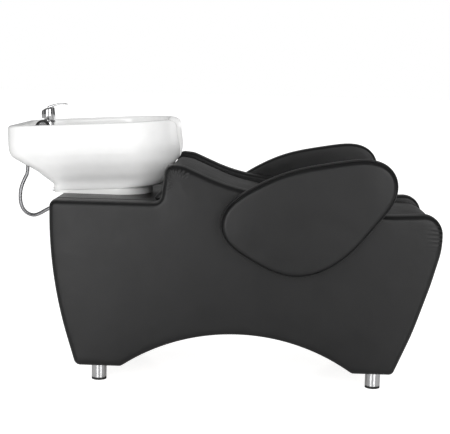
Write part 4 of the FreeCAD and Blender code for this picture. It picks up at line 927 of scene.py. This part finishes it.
def wood(name, dark, light, scale):
    """Wood with long grain: noise stretched along the board and banded."""
    material, shader = surface(name, Roughness=0.6)
    tree = material.node_tree
    place = node(tree, "Mapping", {"Vector": node(tree, "TexCoord").outputs["Object"], "Scale": (2.0, 24.0, 24.0)})
    rings = node(tree, "TexNoise", {"Vector": place.outputs[0], "Scale": scale, "Detail": 5.0, "Roughness": 0.65})
    tones = blend_colours(tree, rings.outputs["Fac"], [(0.35, dark), (0.65, light)])
    tree.links.new(tones, shader.inputs["Base Color"])
    relief = node(tree, "Bump", {"Height": rings.outputs["Fac"], "Strength": 0.3, "Distance": 0.0006})
    tree.links.new(relief.outputs[0], shader.inputs["Normal"])
    return material


timber = wood("timber", (0.50, 0.34, 0.19), (0.68, 0.52, 0.33), 5.0)
plywood = wood("plywood", (0.60, 0.45, 0.28), (0.74, 0.60, 0.42), 3.0)

# The mixer: chromed brass, one turned body on the deck, and over its ball a hollow cap that is cut
# on a slope and drawn out into a flat, slightly arched lever.

mixer_x, deck = -0.022, 0.175


def rounded_rows(rows, steps=6):
    """An open profile of (radius, height, rounding) corners, each drawn round as a parabola between its runs."""
    table = np.array(rows, float)
    here = table[1:-1, :2]
    back, ahead = table[:-2, :2] - here, table[2:, :2] - here
    back_length, ahead_length = (np.linalg.norm(run, axis=1, keepdims=True) for run in (back, ahead))
    back, ahead = back / back_length, ahead / ahead_length
    half = np.arccos(np.clip((back * ahead).sum(1, keepdims=True), -1, 1)) / 2
    reach = np.minimum(np.minimum(table[1:-1, 2:] / np.tan(half), 0.49 * back_length), 0.49 * ahead_length)
    t = np.linspace(0, 1, steps)[None, :, None]
    start, end = (here + back * reach)[:, None], (here + ahead * reach)[:, None]
    bends = start * (1 - t) ** 2 + 2 * t * (1 - t) * here[:, None] + end * t ** 2
    return np.vstack([table[:1, :2], bends.reshape(-1, 2), table[-1:, :2]])


def turned(rows, centre=(0.0, 0.0), sides=72):
    """The grid of a turned form: a rounded profile swung round a level centre."""
    profile = rounded_rows(rows)
    angle = np.linspace(0, 2 * np.pi, sides, endpoint=False)
    return np.stack([centre[0] + profile[:, :1] * np.cos(angle), centre[1] + profile[:, :1] * np.sin(angle),
                     np.broadcast_to(profile[:, 1:], (len(profile), sides))], -1)


def joined(name, meshes):
    """Several closed meshes as one object."""
    shell = bmesh.new()
    for mesh in meshes:
        shell.from_mesh(mesh)
    mesh = bpy.data.meshes.new(name)
    shell.to_mesh(mesh)
    shell.free()
    mesh.shade_smooth()
    return add_object(name, mesh)


mixer_rows = [(0.0003, 0.128, 0), (0.015, 0.128, 0.001), (0.015, deck + 0.0003, 0), (0.026, deck + 0.0003, 0.0005),
              (0.026, deck + 0.0022, 0.0012), (0.0234, deck + 0.0055, 0.002), (0.0228, deck + 0.026, 0.02),
              (0.0222, deck + 0.0480, 0.002), (0.0205, deck + 0.0520, 0.002), (0.0003, deck + 0.0524, 0)]
mixer = solid("mixer_shell", on_basin(turned(mixer_rows, (mixer_x, 0))))
fitted(mixer, chrome, "chrome", "basin", "mixer_base_ring", "mixer_body")
ball_rows = [(0.0003, deck + 0.0527, 0), (0.0158, deck + 0.0527, 0.0005), (0.0154, deck + 0.0545, 0.001),
             (0.0135, deck + 0.0600, 0.003), (0.0110, deck + 0.0670, 0.004), (0.0003, deck + 0.0700, 0)]
ball = solid("mixer_ball", on_basin(turned(ball_rows, (mixer_x, 0))))
fitted(ball, chrome, "chrome", "mixer_turner", "mixer_collar")

cap_rows = [(0.0003, deck + 0.0805, 0), (0.0195, deck + 0.0760, 0.004), (0.0203, deck + 0.0575, 0.0006),
            (0.0225, deck + 0.0575, 0.0008), (0.0228, deck + 0.0745, 0.010), (0.0215, deck + 0.0905, 0.0045),
            (0.0120, deck + 0.0955, 0.006), (0.0003, deck + 0.0960, 0)]
cap = turned(cap_rows)
cap_foot, cap_height = 0.0575, 0.0385
top_slope, foot_slope = 0.30, -0.20
up_cap = np.clip((cap[..., 2] - deck - cap_foot) / cap_height, 0, 1)
cap[..., 2] += cap[..., 0] * (top_slope * up_cap + foot_slope * (1 - up_cap))
cap[..., 0] += mixer_x
lever_table = np.array([  # along, up, half width, half thickness
    (0.000, 0.0950, 0.0100, 0.0050), (0.012, 0.0995, 0.0100, 0.0048), (0.025, 0.1035, 0.0092, 0.0034),
    (0.040, 0.1065, 0.0084, 0.0026), (0.053, 0.1068, 0.0078, 0.0022), (0.062, 0.1058, 0.0072, 0.0020),
    (0.0665, 0.1049, 0.0058, 0.0015), (0.0685, 0.1044, 0.0022, 0.0006)])
lever_rows = smooth_rows(lever_table, 60)
angle = np.linspace(0, 2 * np.pi, 32, endpoint=False)
flat_round = np.sign(np.cos(angle)) * np.abs(np.cos(angle)) ** 0.6
blade = np.stack([np.broadcast_to(mixer_x + lever_rows[:, :1], (len(lever_rows), len(angle))),
                  lever_rows[:, 2:3] * flat_round,
                  deck + lever_rows[:, 1:2] + lever_rows[:, 3:] * np.sin(angle)], -1)
lever = joined("mixer_lever_and_cap", [closed_mesh("cap", on_basin(cap)), closed_mesh("blade", on_basin(blade))])
fitted(lever, chrome, "chrome", "mixer_handle", "mixer_lever")

# The hand shower: a chromed handle that stands in the deck socket and bends forward to a round
# head of glossy black plastic, whose face holds a chromed plate with nozzles, drawn in the plate's chrome.

handle_x, handle_y = -0.078, -0.115
head_centre = np.array([-0.020, -0.115, 0.2110])
head_lean = math.radians(65)


def on_head(points):
    """Points about the head's own axis, leant towards the client's right and set at the head's centre."""
    x, y, z = np.moveaxis(np.asarray(points, float), -1, 0)
    leant = np.stack([x, y * math.cos(head_lean) - z * math.sin(head_lean),
                      y * math.sin(head_lean) + z * math.cos(head_lean)], -1)
    return on_basin(head_centre + leant)


handle_rows = [(0.0003, 0.1166, 0), (0.0100, 0.1166, 0.001), (0.0104, 0.140, 0.01), (0.0104, 0.1785, 0.0004),
               (0.0130, 0.1785, 0.0006), (0.0130, 0.1815, 0.0010), (0.0088, 0.1850, 0.003), (0.0003, 0.1870, 0)]
bend = spline_points([tuple(on_basin(place)) for place in (
    (handle_x, handle_y, 0.180), (handle_x, handle_y, 0.196), (handle_x + 0.008, handle_y + 0.002, 0.208),
    (handle_x + 0.030, handle_y + 0.006, 0.211), head_centre + (0, 0.0075, -0.0035))])
bend_share = np.linspace(0, 1, len(bend))
neck_tube = carried_tube("neck", bend, 0.0085 - 0.0012 * np.sin(np.pi * bend_share), 32)
handle = joined("shower_handle", [
    closed_mesh("handle", on_basin(turned(handle_rows, (handle_x, handle_y)))), neck_tube])
fitted(handle, chrome, "chrome", "hand_shower", "hand_shower_handle")
head_rows = [(0.0003, -0.0090, 0), (0.0150, -0.0090, 0.006), (0.0238, -0.0030, 0.005), (0.0242, 0.0045, 0.003),
             (0.0215, 0.0092, 0.003), (0.0168, 0.0088, 0.001), (0.0160, 0.0050, 0.0005), (0.0003, 0.0045, 0)]
head = solid("shower_head", on_head(turned(head_rows)))
fitted(head, black_plastic, "black_plastic", "hand_shower", "hand_shower_head")
plate_rows = [(0.0003, 0.0046, 0), (0.0158, 0.0051, 0.0003), (0.0158, 0.0084, 0.001), (0.0100, 0.0102, 0.006),
              (0.0003, 0.0108, 0)]
nozzle_rows = [(0.0002, 0.0080, 0), (0.0011, 0.0080, 0), (0.0009, 0.0118, 0.0003), (0.0002, 0.0119, 0)]
nozzle_places = [(ring * math.cos(2 * math.pi * i / count), ring * math.sin(2 * math.pi * i / count))
                 for ring, count in ((0.0035, 4), (0.0078, 9), (0.0121, 14)) for i in range(count)]
plate = joined("shower_face", [closed_mesh("plate", on_head(turned(plate_rows)))] + [
    closed_mesh("nozzle", on_head(turned(nozzle_rows, place, 10))) for place in nozzle_places])
fitted(plate, chrome, "chrome", "hand_shower", "spray_face")

# Every CAD node gets its finish. Edges of metal and plastic are broken by half a millimetre, those of
# the plinth by two; the feet keep theirs, because a bevel spoils the round of the set screw's hole.

finishes = {
    "timber": timber, "plywood": plywood, "chrome": chrome, "zinc_steel": zinc, "brass": brass, "rubber": rubber,
    "black_plastic": black_plastic, "plinth_white": white_plinth, "leatherette": leatherette, "ceramic": china,
    "hose_steel": hose_steel,
}
edge_widths = {"chrome": 0.0005, "zinc_steel": 0.0005, "brass": 0.0005, "black_plastic": 0.0005, "plinth_white": 0.002}
for row in frame["record"]["subparts"]:
    part, slot = nodes[row["node"]], row["material_slot"]
    part.data.materials.clear()
    part.data.materials.append(finishes[slot])
    if slot in edge_widths and not row["node"].endswith("_foot"):
        weld = part.modifiers.new("weld", "WELD")
        weld.merge_threshold = 0.00002
        bevel = part.modifiers.new("soft_edges", "BEVEL")
        bevel.width, bevel.segments = edge_widths[slot], 3 if slot == "plinth_white" else 2
        bevel.limit_method, bevel.angle_limit = "ANGLE", math.radians(35)
